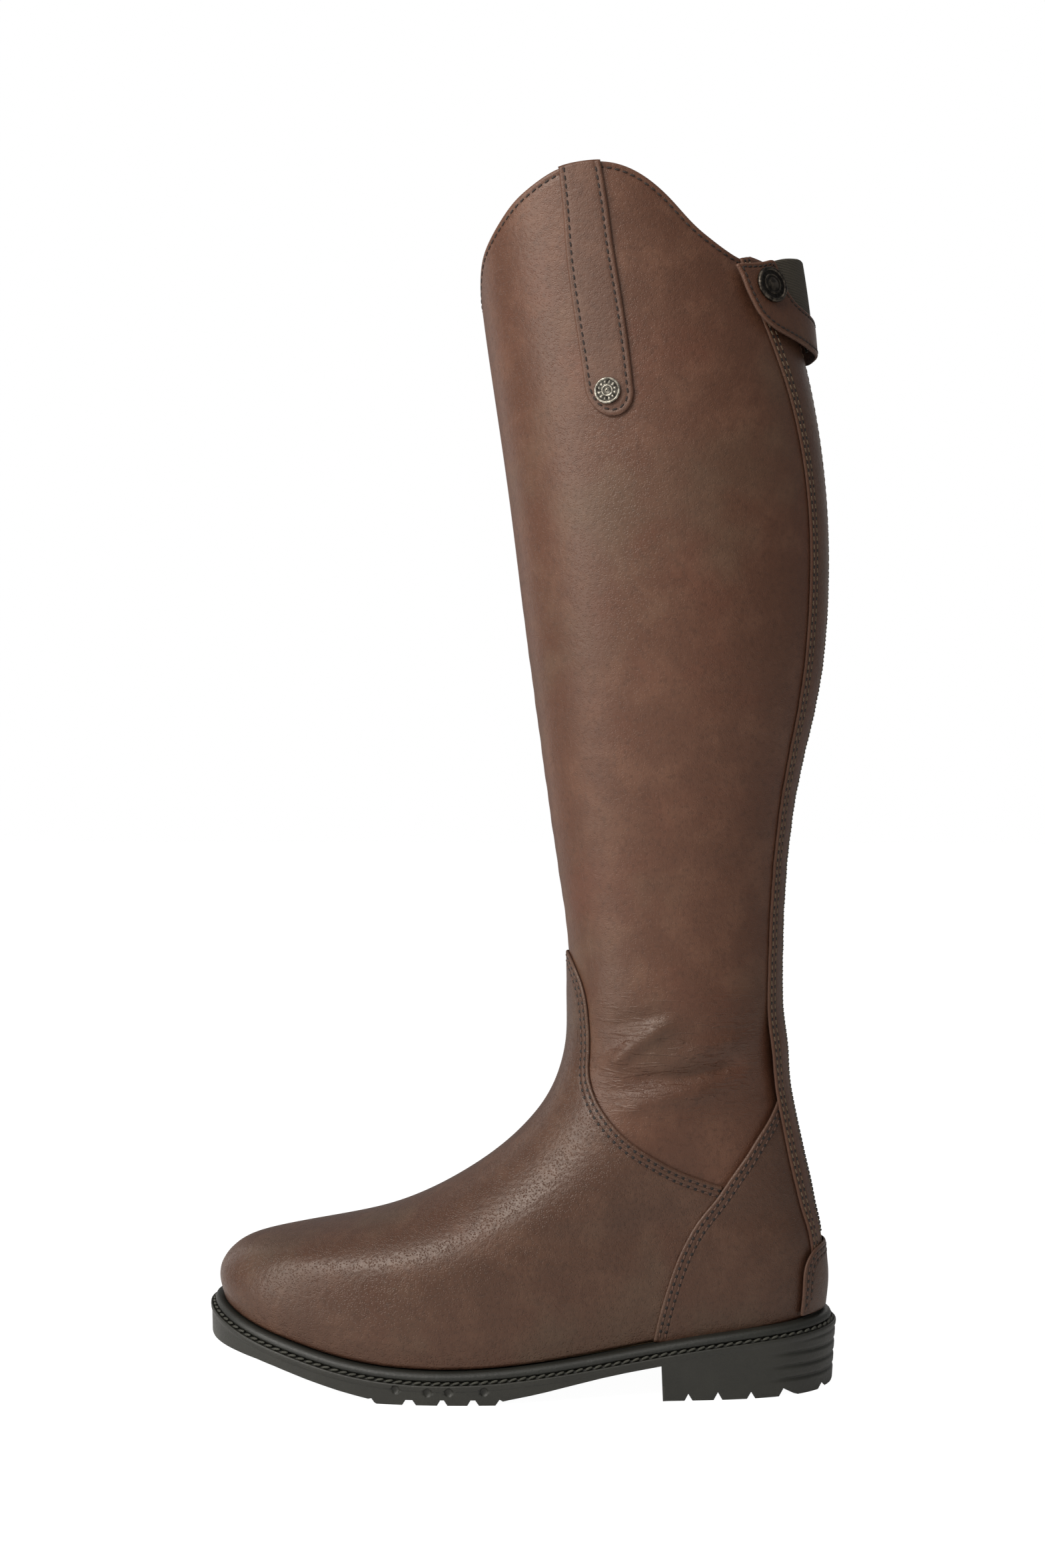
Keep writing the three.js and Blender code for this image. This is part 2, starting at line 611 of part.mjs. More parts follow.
// round part turned about the surface normal at an angle and level
function turned(profile, angle, level, offset, segments, facing) {
  const g = new THREE.LatheGeometry(profile.map((p) => new THREE.Vector2(p[0], p[1])), segments);
  const n = facing || baseNormal(angle, level);
  const turn = new THREE.Quaternion().setFromUnitVectors(new THREE.Vector3(0, 1, 0), n);
  g.applyQuaternion(turn);
  const p = layerPoint(angle, level, offset);
  g.translate(p.x, p.y, p.z);
  return solidOf(g);
}

const badgeAngle = 74.5;
const badgeLevel = 20.06;
const badgeProfile = [
  [0, 0], [badgeRadius - 0.3, 0], [badgeRadius, 0.4], [badgeRadius, 1], [badgeRadius - 0.8, 1.6],
  [badgeRadius - 1.6, 1.3], [3, 1.7], [1.5, badgeHeight], [0, badgeHeight],
];
place('badge_stud', turned(badgeProfile, badgeAngle, badgeLevel, strapOut + 0.4, 24), 'silver');
const washerProfile = [[0, -1], [4, -1], [4, -0.2], [0, -0.2]];
place('badge_washer', turned(washerProfile, badgeAngle, badgeLevel, liningIn - 0.9, 20), 'steel');

// ---- snap tab round the back of the leg ----
// the tab lies close at both ends and stands off over the zip, more so at its upper edge
const tabBow = spline([136, 142, 150, 165, 180, 195, 208, tabHinge + 1], [0.04, 0.1, 0.28, 0.74, 1, 0.8, 0.4, 0]);
const tabIn = (angle, level) => tabRest + tabBow(angle) * (tabStand + (level - 20.8) * tabLean);
const tabOut = (angle, level) => tabIn(angle, level) + tabThick;
const tabRows = range(20.4, 22.4, 0.25);
const tabColumns = columnsBetween(tabEnd, tabHinge);
const tabShape = scaled([
  [90, 492], [97, 490.8], [104, 492.2], [112.7, 494.6], [115.1, 489.2], [118.3, 482.5], [123.6, 476.9], [131.5, 473.8],
  [145, 472], [145, 454], [135, 457.5], [129.2, 458.3], [121.4, 460.5], [113.2, 463.5], [106.5, 468.5], [102.9, 474],
  [100.2, 479.5], [98.1, 485.2], [95.6, 490],
]);
const elasticShape = scaled([
  [111.5, 494.2], [122, 499], [126, 500.3], [145, 501], [145, 470], [130.5, 472.3], [122.9, 475.5], [117.4, 481.2], [113.9, 488.4],
]);
const tabPart = shell(tabColumns, tabRows, tabIn, tabOut, false).intersect(sidePrism(tabShape, -90, 90));
place('snap_tab', tabPart, 'leather');
const elasticIn = (angle, level) => tabIn(angle, level) - layerGap - elasticThick;
const elasticOut = (angle, level) => tabIn(angle, level) - layerGap;
const elastic = shell(columnsBetween(140, tabHinge - 1.5), tabRows, elasticIn, elasticOut, false);
place('tab_elastic', elastic.intersect(sidePrism(elasticShape, -90, 90)), 'elastic');
const patchShape = scaled([[88, 492], [97.5, 494], [104, 490], [108, 478], [112, 468], [104, 466], [96, 474], [90, 484]]);
const patchIn = (a, level) => stripOut(a, level) + layerGap;
const patchOut = (a, level) => stripOut(a, level) + layerGap + 1.1;
const patch = shell(columnsBetween(212, 228), tabRows, patchIn, patchOut, false);
place('tab_patch', patch.intersect(sidePrism(patchShape, 0, 90)), 'leather');

const capProfile = [
  [0, 0], [capRadius - 0.4, 0], [capRadius, 0.5], [capRadius, 1.1], [capRadius - 0.9, 1.8], [capRadius - 1.8, 1.5],
  [4.4, 1.6], [2.2, capHeight], [0, capHeight],
];
const tabSpot = (a, level) => layerPoint(a, level, tabOut(a, level));
const tabAcross = tabSpot(snapAngle + 2, snapLevel).sub(tabSpot(snapAngle - 2, snapLevel));
const tabUp = tabSpot(snapAngle, snapLevel + 0.1).sub(tabSpot(snapAngle, snapLevel - 0.1));
const tabFacing = tabAcross.cross(tabUp).normalize();
const tabFace = tabOut(snapAngle, snapLevel) + 0.45;
place('snap_cap', turned(capProfile, snapAngle, snapLevel, tabFace, 28, tabFacing), 'antique');
const socketProfile = [
  [socketInner, -socketHeight], [socketOuter, -socketHeight], [socketOuter, 0], [socketInner, 0],
  [socketInner, -socketHeight],
];
const socketFace = tabIn(snapAngle, snapLevel) - 0.6;
place('snap_socket', turned(socketProfile, snapAngle, snapLevel, socketFace, 24, tabFacing), 'antique');
const studProfile = [[0, 0], [studRadius, 0], [studRadius, studHeight], [0, studHeight]];
place('snap_stud', turned(studProfile, snapAngle, snapLevel, legOut + layerGap + stripThick + 0.4, 20), 'antique');

// ---- zip slider and pull, built at the arc's mid height and turned up to the closed position ----
const arcPoints = arcLevels.map((level) => basePoint(180, level));

// centre of the circle through three points of the side view
function circleThrough(p, q, r) {
  const d = 2 * (p.x * (q.z - r.z) + q.x * (r.z - p.z) + r.x * (p.z - q.z));
  const pp = p.x * p.x + p.z * p.z;
  const qq = q.x * q.x + q.z * q.z;
  const rr = r.x * r.x + r.z * r.z;
  const x = (pp * (q.z - r.z) + qq * (r.z - p.z) + rr * (p.z - q.z)) / d;
  const z = (pp * (r.x - q.x) + qq * (p.x - r.x) + rr * (q.x - p.x)) / d;
  return new THREE.Vector3(x, 0, z);
}

const arcCentre = circleThrough(...arcPoints);
const arcRadius = arcCentre.distanceTo(arcPoints[0]);
const sliderAngle = Math.asin((sliderHeight * heightScale - arcCentre.z) / arcRadius) / deg;
const coilTop = layerGap - 0.1 + coilHeight;
const ax = arcRadius;
const plateLow = ax + coilTop + sliderFit;
const plateHigh = plateLow + sliderPlate;
const flangeIn = coilHalf + sliderFit;
const flangeOut = flangeIn + flangeThick;
const flangeLow = ax + layerGap;
const halfLong = sliderLength / 2;
const handleTop = plateHigh + handleHeight;
let slider = box(plateLow, plateHigh, -flangeOut, flangeOut, -halfLong, halfLong);
slider = slider.add(box(flangeLow, plateHigh, -flangeOut, -flangeIn, -halfLong, halfLong));
slider = slider.add(box(flangeLow, plateHigh, flangeIn, flangeOut, -halfLong, halfLong));
slider = slider.add(box(plateHigh - 0.2, handleTop, -1, 1, 2.6, 3.8));
slider = slider.add(box(plateHigh - 0.2, handleTop, -1, 1, -3.8, -2.6));
slider = slider.add(box(handleTop - 0.9, handleTop, -1, 1, -3.8, 3.8));
const barX = (plateHigh + handleTop - 0.9) / 2;
let pull = box(barX - pullThick / 2, barX + pullThick / 2, -pullWidth / 2, pullWidth / 2, -pullLength, 0.6);
pull = pull.subtract(box(barX - 4, barX + 4, -1.6, 1.6, -6.2, -0.6));
pull = pull.subtract(box(barX - 4, barX + 4, -1.9, 1.9, -19.5, -12.5));
const toArc = (solid) => solid.rotate([0, -sliderAngle, 0]).translate([arcCentre.x, 0, arcCentre.z]);
place('zip_slider', toArc(slider), 'antique');
place('zip_pull', toArc(pull), 'antique');

// the base rectangle is centred on the origin
const bounds = new THREE.Box3().setFromObject(group);
for (const mesh of group.children) {
  mesh.geometry.translate(-(bounds.min.x + bounds.max.x) / 2, -(bounds.min.y + bounds.max.y) / 2, -bounds.min.z);
}

export default group;
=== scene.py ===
import math
import bmesh
import bpy
import numpy as np
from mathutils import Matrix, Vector


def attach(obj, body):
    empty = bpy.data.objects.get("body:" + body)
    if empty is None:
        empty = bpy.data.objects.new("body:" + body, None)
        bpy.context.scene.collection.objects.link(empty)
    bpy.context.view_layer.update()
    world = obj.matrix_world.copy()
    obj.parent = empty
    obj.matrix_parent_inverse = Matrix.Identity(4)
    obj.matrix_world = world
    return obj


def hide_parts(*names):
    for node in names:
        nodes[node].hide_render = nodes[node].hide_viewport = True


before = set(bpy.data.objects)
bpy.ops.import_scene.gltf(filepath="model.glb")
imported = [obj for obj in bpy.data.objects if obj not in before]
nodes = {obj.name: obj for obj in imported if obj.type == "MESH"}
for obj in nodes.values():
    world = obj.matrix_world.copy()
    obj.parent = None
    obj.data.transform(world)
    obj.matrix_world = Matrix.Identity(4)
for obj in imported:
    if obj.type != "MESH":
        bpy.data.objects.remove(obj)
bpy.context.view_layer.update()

mm = 0.001

# shader maths, through a wrapped socket


class Wire:  # one node output, usable in sums
    def __init__(self, look, socket):
        self.look = look
        self.socket = socket

    def sum(self, operation, a, b):
        return self.look.add("ShaderNodeMath", {"operation": operation}, {0: a, 1: b})

    def __add__(self, other):
        return self.sum("ADD", self, other)

    def __radd__(self, other):
        return self.sum("ADD", other, self)

    def __sub__(self, other):
        return self.sum("SUBTRACT", self, other)

    def __mul__(self, other):
        return self.sum("MULTIPLY", self, other)

    def __rmul__(self, other):
        return self.sum("MULTIPLY", other, self)

    def clamp(self):
        return self.look.add("ShaderNodeClamp", {}, {"Value": self})


class Look:  # a material being built
    def __init__(self, name, owner=None):
        self.material = owner or bpy.data.materials.new(name)
        self.material.use_nodes = True
        self.tree = self.material.node_tree
        self.tree.nodes.clear()

    def add(self, kind, settings=None, values=None, out=0):
        node = self.tree.nodes.new(kind)
        for key, value in (settings or {}).items():
            setattr(node, key, value)
        for key, value in (values or {}).items():
            if isinstance(value, Wire):
                self.tree.links.new(value.socket, node.inputs[key])
            else:
                node.inputs[key].default_value = value
        return Wire(self, node.outputs[out]) if node.outputs else None

    def place(self):
        return self.add("ShaderNodeTexCoord", out=3)

    def noise(self, scale, detail=3, where=None, rough=0.5, distort=0):
        where = where or self.place()
        return self.add("ShaderNodeTexNoise", {}, {
            "Vector": where, "Scale": scale, "Detail": detail, "Roughness": rough, "Distortion": distort})

    def cells(self, scale, feature, where):
        return self.add("ShaderNodeTexVoronoi", {"feature": feature}, {"Vector": where, "Scale": scale})

    def wave(self, direction, scale, distort, where):
        return self.add("ShaderNodeTexWave", {"bands_direction": direction}, {
            "Vector": where, "Scale": scale, "Distortion": distort})

    def curve(self, value, low, high):
        return self.add("ShaderNodeMapRange", {"interpolation_type": "SMOOTHSTEP"}, {
            "Value": value, "From Min": low, "From Max": high})

    def mix(self, factor, a, b, how="MIX"):
        settings = {"data_type": "RGBA", "blend_type": how}
        return self.add("ShaderNodeMix", settings, {0: factor, 6: a, 7: b}, out=2)

    def mask(self, name):
        return self.add("ShaderNodeAttribute", {"attribute_name": name}, out=2)

    def bump(self, height, depth, strength=1, under=None):
        values = {"Height": height, "Distance": depth, "Strength": strength}
        if under:
            values["Normal"] = under
        return self.add("ShaderNodeBump", {}, values)

    def surface(self, values):
        shader = self.add("ShaderNodeBsdfPrincipled", {}, values)
        self.add("ShaderNodeOutputMaterial", {}, {"Surface": shader})
        return self.material


def tone(r, g, b):  # screen colour, 0 to 255, to a linear colour
    out = []
    for c in (r / 255, g / 255, b / 255):
        out.append(c / 12.92 if c <= 0.04045 else ((c + 0.055) / 1.055) ** 2.4)
    return (*out, 1)


def brighter(color, factor):
    return (*(min(1, c * factor) for c in color[:3]), 1)


# boot surface

bootShape = {
    "shift": (1.15, 1.2113),
    "front": [
        (-137.3, 31.7), (-139.4, 40.7), (-136.4, 49.7), (-129, 57.7), (-117.3, 62.9), (-97, 67.7),
        (-70, 73.3), (-46.5, 81.1), (-26.5, 91.1), (-8.6, 103.1), (6, 117.7), (15.5, 133.2),
        (20.5, 150.7), (21.3, 168.7), (20.6, 194.7), (16.2, 227.7), (10.6, 267.7), (5.3, 307.7),
        (0, 347.7), (-5.3, 389.7), (-11.2, 431.7), (-16.6, 469.7), (-20.5, 502.7), (-24, 533.7)],
    "back": [
        (135, 30.7), (136.3, 42.7), (136, 51.7), (135.2, 60.7), (134, 69.7), (132, 78.7),
        (130.3, 87.7), (128, 97.7), (126, 106.7), (123.8, 116.7), (121.4, 128.7), (119.2, 141.7),
        (117.2, 155.7), (116.2, 170.7), (116.3, 194.7), (118, 227.7), (123.4, 267.7), (132.1, 307.7),
        (136.3, 347.7), (136, 389.7), (130.9, 431.7), (121.9, 469.7), (110.5, 502.7), (98, 533.7)],
    "legShare": [0, 0, 0.03, 0.08, 0.16, 0.28, 0.42, 0.55, 0.67, 0.78, 0.87, 0.94, 0.98] + [1] * 11,
    "bulge": [1, 1.03, 1.035, 1.03, 1.02] + [1] * 19,
    "legHalf": [36] * 15 + [38, 42.5, 47.5, 51.5, 53.5, 53.5, 52.5, 52, 52],
    "weltPull": [1, 0.85, 0.68, 0.52, 0.38, 0.26, 0.16, 0.09, 0.04] + [0] * 15,
    "station": [0, 0.12, 0.3, 0.5, 0.7, 0.88, 1],
    "planOuter": [70, 59, 52.4, 45.8, 41, 46.5, 54],
    "planInner": [64, 55.5, 50, 39.5, 35.8, 45, 53],
    "feather": [
        (-140, 34.7), (-120, 27.7), (-100, 22.2), (-75, 16.7), (-45, 13.7), (-15, 13.9), (15, 16.7),
        (45, 21.2), (75, 26.2), (105, 29.7), (137, 32.2)],
    "toeInset": 1.5,
    "heelInset": 4.2,
}

layers = {
    "leg": 0, "legThick": 1.2,
    "vamp": 1.5, "quarter": 3.0, "panelThick": 1.2,
    "stripThick": 1.0, "gap": 0.3,
    "lining": -2.2, "liningThick": 0.8,
}


def spline(xs, ys):  # natural cubic through the points, works on arrays
    xs = np.array(xs, float)
    ys = np.array(ys, float)
    n = len(xs)
    h = np.diff(xs)
    a = np.eye(n)
    r = np.zeros(n)
    for i in range(1, n - 1):
        a[i, i - 1:i + 2] = h[i - 1], 2 * (h[i - 1] + h[i]), h[i]
        r[i] = 6 * ((ys[i + 1] - ys[i]) / h[i] - (ys[i] - ys[i - 1]) / h[i - 1])
    m = np.linalg.solve(a, r)

    def at(x):
        x = np.asarray(x, float)
        i = np.clip(np.searchsorted(xs, x) - 1, 0, n - 2)
        t = x - xs[i]
        u = xs[i + 1] - x
        k = h[i]
        bend = (m[i] * u ** 3 + m[i + 1] * t ** 3) / (6 * k)
        return bend + (ys[i] / k - m[i] * k / 6) * u + (ys[i + 1] / k - m[i + 1] * k / 6) * t
    return at


def firsts(pairs):
    return [p[0] for p in pairs]


def seconds(pairs):
    return [p[1] for p in pairs]


levels = range(len(bootShape["front"]))
frontX = spline(levels, firsts(bootShape["front"]))
frontZ = spline(levels, seconds(bootShape["front"]))
backX = spline(levels, firsts(bootShape["back"]))
backZ = spline(levels, seconds(bootShape["back"]))
shareAt = spline(levels, bootShape["legShare"])
bulgeAt = spline(levels, bootShape["bulge"])
legAt = spline(levels, bootShape["legHalf"])
pullAt = spline(levels, bootShape["weltPull"])
outerAt = spline(bootShape["station"], bootShape["planOuter"])
innerAt = spline(bootShape["station"], bootShape["planInner"])
featherAt = spline(firsts(bootShape["feather"]), seconds(bootShape["feather"]))


def smoothstep(a, b, x):
    t = np.clip((np.asarray(x, float) - a) / (b - a), 0, 1)
    return t * t * (3 - 2 * t)


def basePoint(angle, level):  # angle in degrees, 0 front, 90 outer side, 180 back
    angle, level = np.broadcast_arrays(np.asarray(angle, float), np.asarray(level, float))
    c = np.cos(np.radians(angle))
    s = np.sin(np.radians(angle))
    station = (1 - c) / 2
    x = frontX(level) + (backX(level) - frontX(level)) * station
    share = shareAt(level)
    plan = np.where(s >= 0, outerAt(station), innerAt(station))
    half = (plan * (1 - share) + legAt(level) * share) * bulgeAt(level)
    toeIn = 5 * np.clip((-40 - x) / 100, 0, 2) ** 2
    z = frontZ(level) + (backZ(level) - frontZ(level)) * station
    z = z + pullAt(level) * (featherAt(x) - (31.7 - station))
    return np.stack([x, -s * half + toeIn, z], -1)


def unit(v):
    return v / np.maximum(np.linalg.norm(v, axis=-1, keepdims=True), 1e-9)


def baseNormal(angle, level):
    low = np.maximum(0, np.asarray(level, float) - 0.02)
    du = basePoint(angle + 0.2, level) - basePoint(angle - 0.2, level)
    dv = basePoint(angle, low + 0.04) - basePoint(angle, low)
    return unit(np.cross(du, dv))


# soft folds where the boot bends: two end points (x, z), half width, height, side
folds = [
    ((40, 145), (66, 160), 3.4, 2.4, "outer"),
    ((50, 138), (98, 143), 3.2, -2.8, "outer"),
    ((42, 159), (66, 168), 2.6, -1.0, "outer"),
    ((38, 133), (54, 136), 2.0, -0.8, "outer"),
    ((72, 149), (100, 153), 3.6, 1.5, "outer"),
    ((46, 126), (86, 131), 3.4, 0.9, "outer"),
    ((42, 150), (80, 158), 3.4, 0.8, "inner"),
    ((40, 138), (90, 144), 3.2, -0.9, "inner"),
    ((48, 128), (84, 132), 3.2, 0.6, "inner"),
]


def foldHeight(p):
    x, y, z = p[..., 0], p[..., 1], p[..., 2]
    total = np.zeros_like(x)
    for a, b, wide, high, side in folds:
        dx, dz = b[0] - a[0], b[1] - a[1]
        length = math.hypot(dx, dz)
        along = ((x - a[0]) * dx + (z - a[1]) * dz) / length
        across = ((z - a[1]) * dx - (x - a[0]) * dz) / length
        across = across + 1.5 * np.sin(along * 0.09 + a[0])
        ends = smoothstep(-8, 8, along) * smoothstep(-8, 8, length - along)
        facing = smoothstep(4, 16, -y if side == "outer" else y)
        total += high * ends * facing * np.exp(-(across / wide) ** 2)
    # shallow level waves over the lower leg and a slow unevenness everywhere
    wave = np.sin(z * 0.42 + 1.7 * np.sin(x * 0.045)) * np.sin(z * 0.17 + x * 0.03)
    total += 0.12 * wave * smoothstep(150, 200, z) * (1 - smoothstep(300, 380, z))
    total += 0.35 * np.sin(z * 0.021 + x * 0.013) * np.sin(x * 0.05 + y * 0.04) * smoothstep(60, 130, z)
    return total


def creaseMask(p):  # where the fine wrinkles of the ankle lie, which the leather colour also darkens as painted shade
    x, z = p[..., 0], p[..., 2]
    band = smoothstep(114, 130, z) * (1 - smoothstep(158, 186, z))
    return band * smoothstep(28, 46, x) * (1 - smoothstep(96, 112, x))


def layerPoint(angle, level, offset):
    p = basePoint(angle, level)
    n = baseNormal(angle, level)
    away = np.abs((np.asarray(angle, float) + 540) % 360 - 180)
    heelward = smoothstep(85, 128, away)
    inset = bootShape["toeInset"] + (bootShape["heelInset"] - bootShape["toeInset"]) * heelward
    inset = inset * (1 - smoothstep(10, 13.4, level))
    return p + n * (offset - inset + foldHeight(p))[..., None]


def stripIn(angle, level):
    return layers["gap"] + layers["quarter"] * (1 - smoothstep(11.2, 13.2, level))


def stripOut(angle, level):
    return stripIn(angle, level) + layers["stripThick"]


def at(offset, angle, level):
    return offset(angle, level) if callable(offset) else np.full(np.shape(angle), float(offset))


def angleAtWidth(width, level):
    level = np.asarray(level, float)
    low = np.full(level.shape, 90.0)
    high = np.full(level.shape, 180.0)
    for _ in range(26):
        mid = (low + high) / 2
        wide = -basePoint(mid, level)[..., 1] > width
        low = np.where(wide, mid, low)
        high = np.where(wide, high, mid)
    return low


# curves on the surface


def runLength(p):  # distance from the first point to each point
    return np.concatenate([[0], np.cumsum(np.linalg.norm(np.diff(p, axis=0), axis=1))])


def pointsAlong(want, s, p):
    return np.stack([np.interp(want, s, column) for column in p.T], -1)


def resample(angles, lvls, step, offset=0):  # even spacing; a negative step gives the number of points
    fine = np.linspace(0, len(angles) - 1, 40 * len(angles))
    k = np.arange(len(angles))
    a = spline(k, angles)(fine)
    v = spline(k, lvls)(fine)
    p = layerPoint(a, v, offset)
    s = runLength(p)
    count = max(2, int(round(s[-1] / step)) + 1) if step > 0 else int(-step)
    want = np.linspace(0, s[-1], count)
    return np.interp(want, s, a), np.interp(want, s, v)


def inward(angles, lvls, distance, toward):  # the curve moved over the surface towards another
    a, v = np.array(angles, float), np.array(lvls, float)
    steps = max(1, int(np.max(np.abs(distance)) / 1.5) + 1)
    for _ in range(steps):
        p = layerPoint(a, v, 0)
        tangent = unit(np.gradient(p, axis=0))
        eps = 0.02
        pu = (basePoint(a + eps, v) - basePoint(a - eps, v)) / (2 * eps)
        pv = (basePoint(a, v + eps) - basePoint(a, v - eps)) / (2 * eps)
        w = unit(np.cross(baseNormal(a, v), tangent))
        goal = basePoint(toward[0], toward[1]) - p
        w = w * np.sign((w * goal).sum(-1))[..., None]
        e = (pu * pu).sum(-1)
        f = (pu * pv).sum(-1)
        g = (pv * pv).sum(-1)
        r1 = (pu * w).sum(-1)
        r2 = (pv * w).sum(-1)
        det = np.maximum(e * g - f * f, 1e-6)
        a = a + (g * r1 - f * r2) / det * distance / steps
        v = v + (e * r2 - f * r1) / det * distance / steps
    return a, v


farAway = 99.0  # distance given to points that have no edge near


def bandRows(curve, other, band, width):  # copies of a curve, moved towards the other one
    rows = []
    for d in band:
        d = np.minimum(d, 0.45 * width)
        a, v = inward(*curve, d, other) if np.max(d) > 0 else curve
        rows.append((a, v, d))
    return rows


def panelGrid(top, bottom, topBand, bottomBand, fill):
    # a band is a list of distances from its curve, and fill counts the rows between the two bands
    width = np.linalg.norm(basePoint(*top) - basePoint(*bottom), axis=-1)
    highs = bandRows(top, bottom, topBand, width)
    lows = bandRows(bottom, top, bottomBand, width)[::-1]
    between = []
    for i in range(1, fill):
        t = i / fill
        reach = np.full(len(top[0]), farAway)
        if len(topBand) > 1:
            reach = np.minimum(reach, topBand[-1] + t * width)
        if len(bottomBand) > 1:
            reach = np.minimum(reach, bottomBand[-1] + (1 - t) * width)
        a, v = [highs[-1][c] * (1 - t) + lows[0][c] * t for c in (0, 1)]
        between.append((a, v, reach))
    angles, lvls, dist = [np.array(column) for column in zip(*highs, *between, *lows)]
    if len(topBand) == 1:
        dist[0] = farAway
    if len(bottomBand) == 1:
        dist[-1] = farAway
    return angles, lvls, dist


def newObject(name, points, faces, materials, body, replaced=()):
    mesh = bpy.data.meshes.new(name)
    mesh.from_pydata([tuple(p) for p in np.asarray(points) * mm], [], faces)
    mesh.update()
    for material in materials:
        mesh.materials.append(material)
    mesh.shade_smooth()
    piece = linked(name, mesh)
    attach(piece, body)
    if replaced:
        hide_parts(*replaced)
    return piece


def shifted(points):
    points = np.array(points, float)
    points[..., 0] += bootShape["shift"][0]
    points[..., 1] += bootShape["shift"][1]
    return points


def linked(name, data):
    piece = bpy.data.objects.new(name, data)
    bpy.context.scene.collection.objects.link(piece)
    return piece


def tubeFaces(rings, sides):  # between rings that follow each other
    faces = []
    for i in range(rings - 1):
        for k in range(sides):
            k2 = (k + 1) % sides
            low, high = i * sides, (i + 1) * sides
            faces.append((low + k, low + k2, high + k2, high + k))
    return faces


def cappedTube(rings, sides):
    last = (rings - 1) * sides
    return tubeFaces(rings, sides) + [tuple(range(sides))[::-1], tuple(range(last, last + sides))]


def rungFaces(first, n, flip):  # fills a ring with rungs from one side to the other
    faces = []
    for c in range(n // 2):
        loop = [first + c, first + (n - c) % n, first + (n - c - 1) % n, first + c + 1]
        loop = list(dict.fromkeys(loop))
        if len(loop) > 2:
            faces.append(tuple(loop[::-1] if flip else loop))
    return faces


def shellFaces(nr, nc, flip):  # two grids of points, one under the other, and the rims between them
    def quad(a, b, c, d):
        return (a, d, c, b) if flip else (a, b, c, d)
    n = nr * nc
    faces = []
    rims = []
    for r in range(nr - 1):
        for c in range(nc - 1):
            i = r * nc + c
            faces.append(quad(i, i + nc, i + nc + 1, i + 1))
            faces.append(quad(n + i, n + i + 1, n + i + nc + 1, n + i + nc))
    for c in range(nc - 1):
        rims.append(quad(c, c + 1, n + c + 1, n + c))
        i = (nr - 1) * nc + c
        rims.append(quad(i, n + i, n + i + 1, i + 1))
    for r in range(nr - 1):
        i = r * nc
        rims.append(quad(i, n + i, n + i + nc, i + nc))
        j = i + nc - 1
        rims.append(quad(j, j + nc, n + j + nc, n + j))
    return faces, rims


def giveMask(piece, name, values):
    layer = piece.data.attributes.new(name, "FLOAT", "POINT")
    layer.data.foreach_set("value", np.asarray(values, np.float32).ravel())


def edgeDrop(dist, rows, thick):
    drop = 0.45 * thick * np.clip(1 - dist / 0.9, 0, 1) ** 2
    for r in rows:
        drop = drop + 0.24 * np.exp(-((dist - r) / 0.55) ** 2)
    return drop


def panel(name, grid, outer, thick, materials, body, rows=(), replaced=()):
    angles, lvls, dist = grid
    outerOffset = at(outer, angles, lvls)
    drop = edgeDrop(dist, rows, thick)
    top = layerPoint(angles, lvls, outerOffset - drop)
    low = layerPoint(angles, lvls, outerOffset - thick)
    points = shifted(np.concatenate([top.reshape(-1, 3), low.reshape(-1, 3)]))
    cross = np.cross(top[1, 0] - top[0, 0], top[0, 1] - top[0, 0])
    flip = cross.dot(baseNormal(angles[0, 0], lvls[0, 0])) < 0
    faces, rims = shellFaces(*angles.shape, flip)
    piece = newObject(name, points, faces + rims, materials, body, replaced)
    if len(materials) > 1:  # the second material shows on the cut rims
        index = np.zeros(len(faces) + len(rims), np.int32)
        index[len(faces):] = 1
        piece.data.polygons.foreach_set("material_index", index)
    # painted highlight: the colour is lighter close to each panel edge
    edgeHighlight = np.exp(-dist / 0.8)
    # a band along each stitch row, which the shader darkens: painted shade in the stitch grooves
    seam = np.zeros_like(dist)
    for r in rows:
        seam = np.maximum(seam, 0.6 * np.exp(-((dist - r) / 0.9) ** 2))
    giveMask(piece, "edgeHighlight", np.concatenate([edgeHighlight.ravel(), edgeHighlight.ravel()]))
    giveMask(piece, "seam", np.concatenate([seam.ravel(), seam.ravel()]))
    giveMask(piece, "creaseAndShade", creaseMask(np.concatenate([top.reshape(-1, 3), low.reshape(-1, 3)])))
    return piece


stitchSize = {"pitch": 3.5, "length": 2.3, "radius": 0.44, "hole": 0.78}
stitchBank = {}


def capsule(length, radius, rings=7, sides=7):
    points = []
    for i in range(rings):
        t = math.pi * i / (rings - 1)
        r = radius * math.sin(t) ** 0.6 if 0 < i < rings - 1 else 0.02
        for k in range(sides):
            a = 2 * math.pi * k / sides
            points.append((-math.cos(t) * length / 2, r * math.cos(a), r * math.sin(a)))
    return np.array(points), cappedTube(rings, sides)


capsulePoints, capsuleFaces = capsule(1, 1)


def layStitches(bank, places, along, outward, length, radius, lean=0.12, flat=0.75):
    side = unit(np.cross(outward, along))
    along = unit(along + side * lean)
    side = unit(np.cross(outward, along))
    outward = unit(np.cross(along, side))
    template = capsulePoints
    made = (places[:, None, :]
            + along[:, None, :] * (template[None, :, 0:1] * length)
            + side[:, None, :] * (template[None, :, 1:2] * radius)
            + outward[:, None, :] * (template[None, :, 2:3] * radius * flat))
    stitchBank.setdefault(bank, []).append(made)


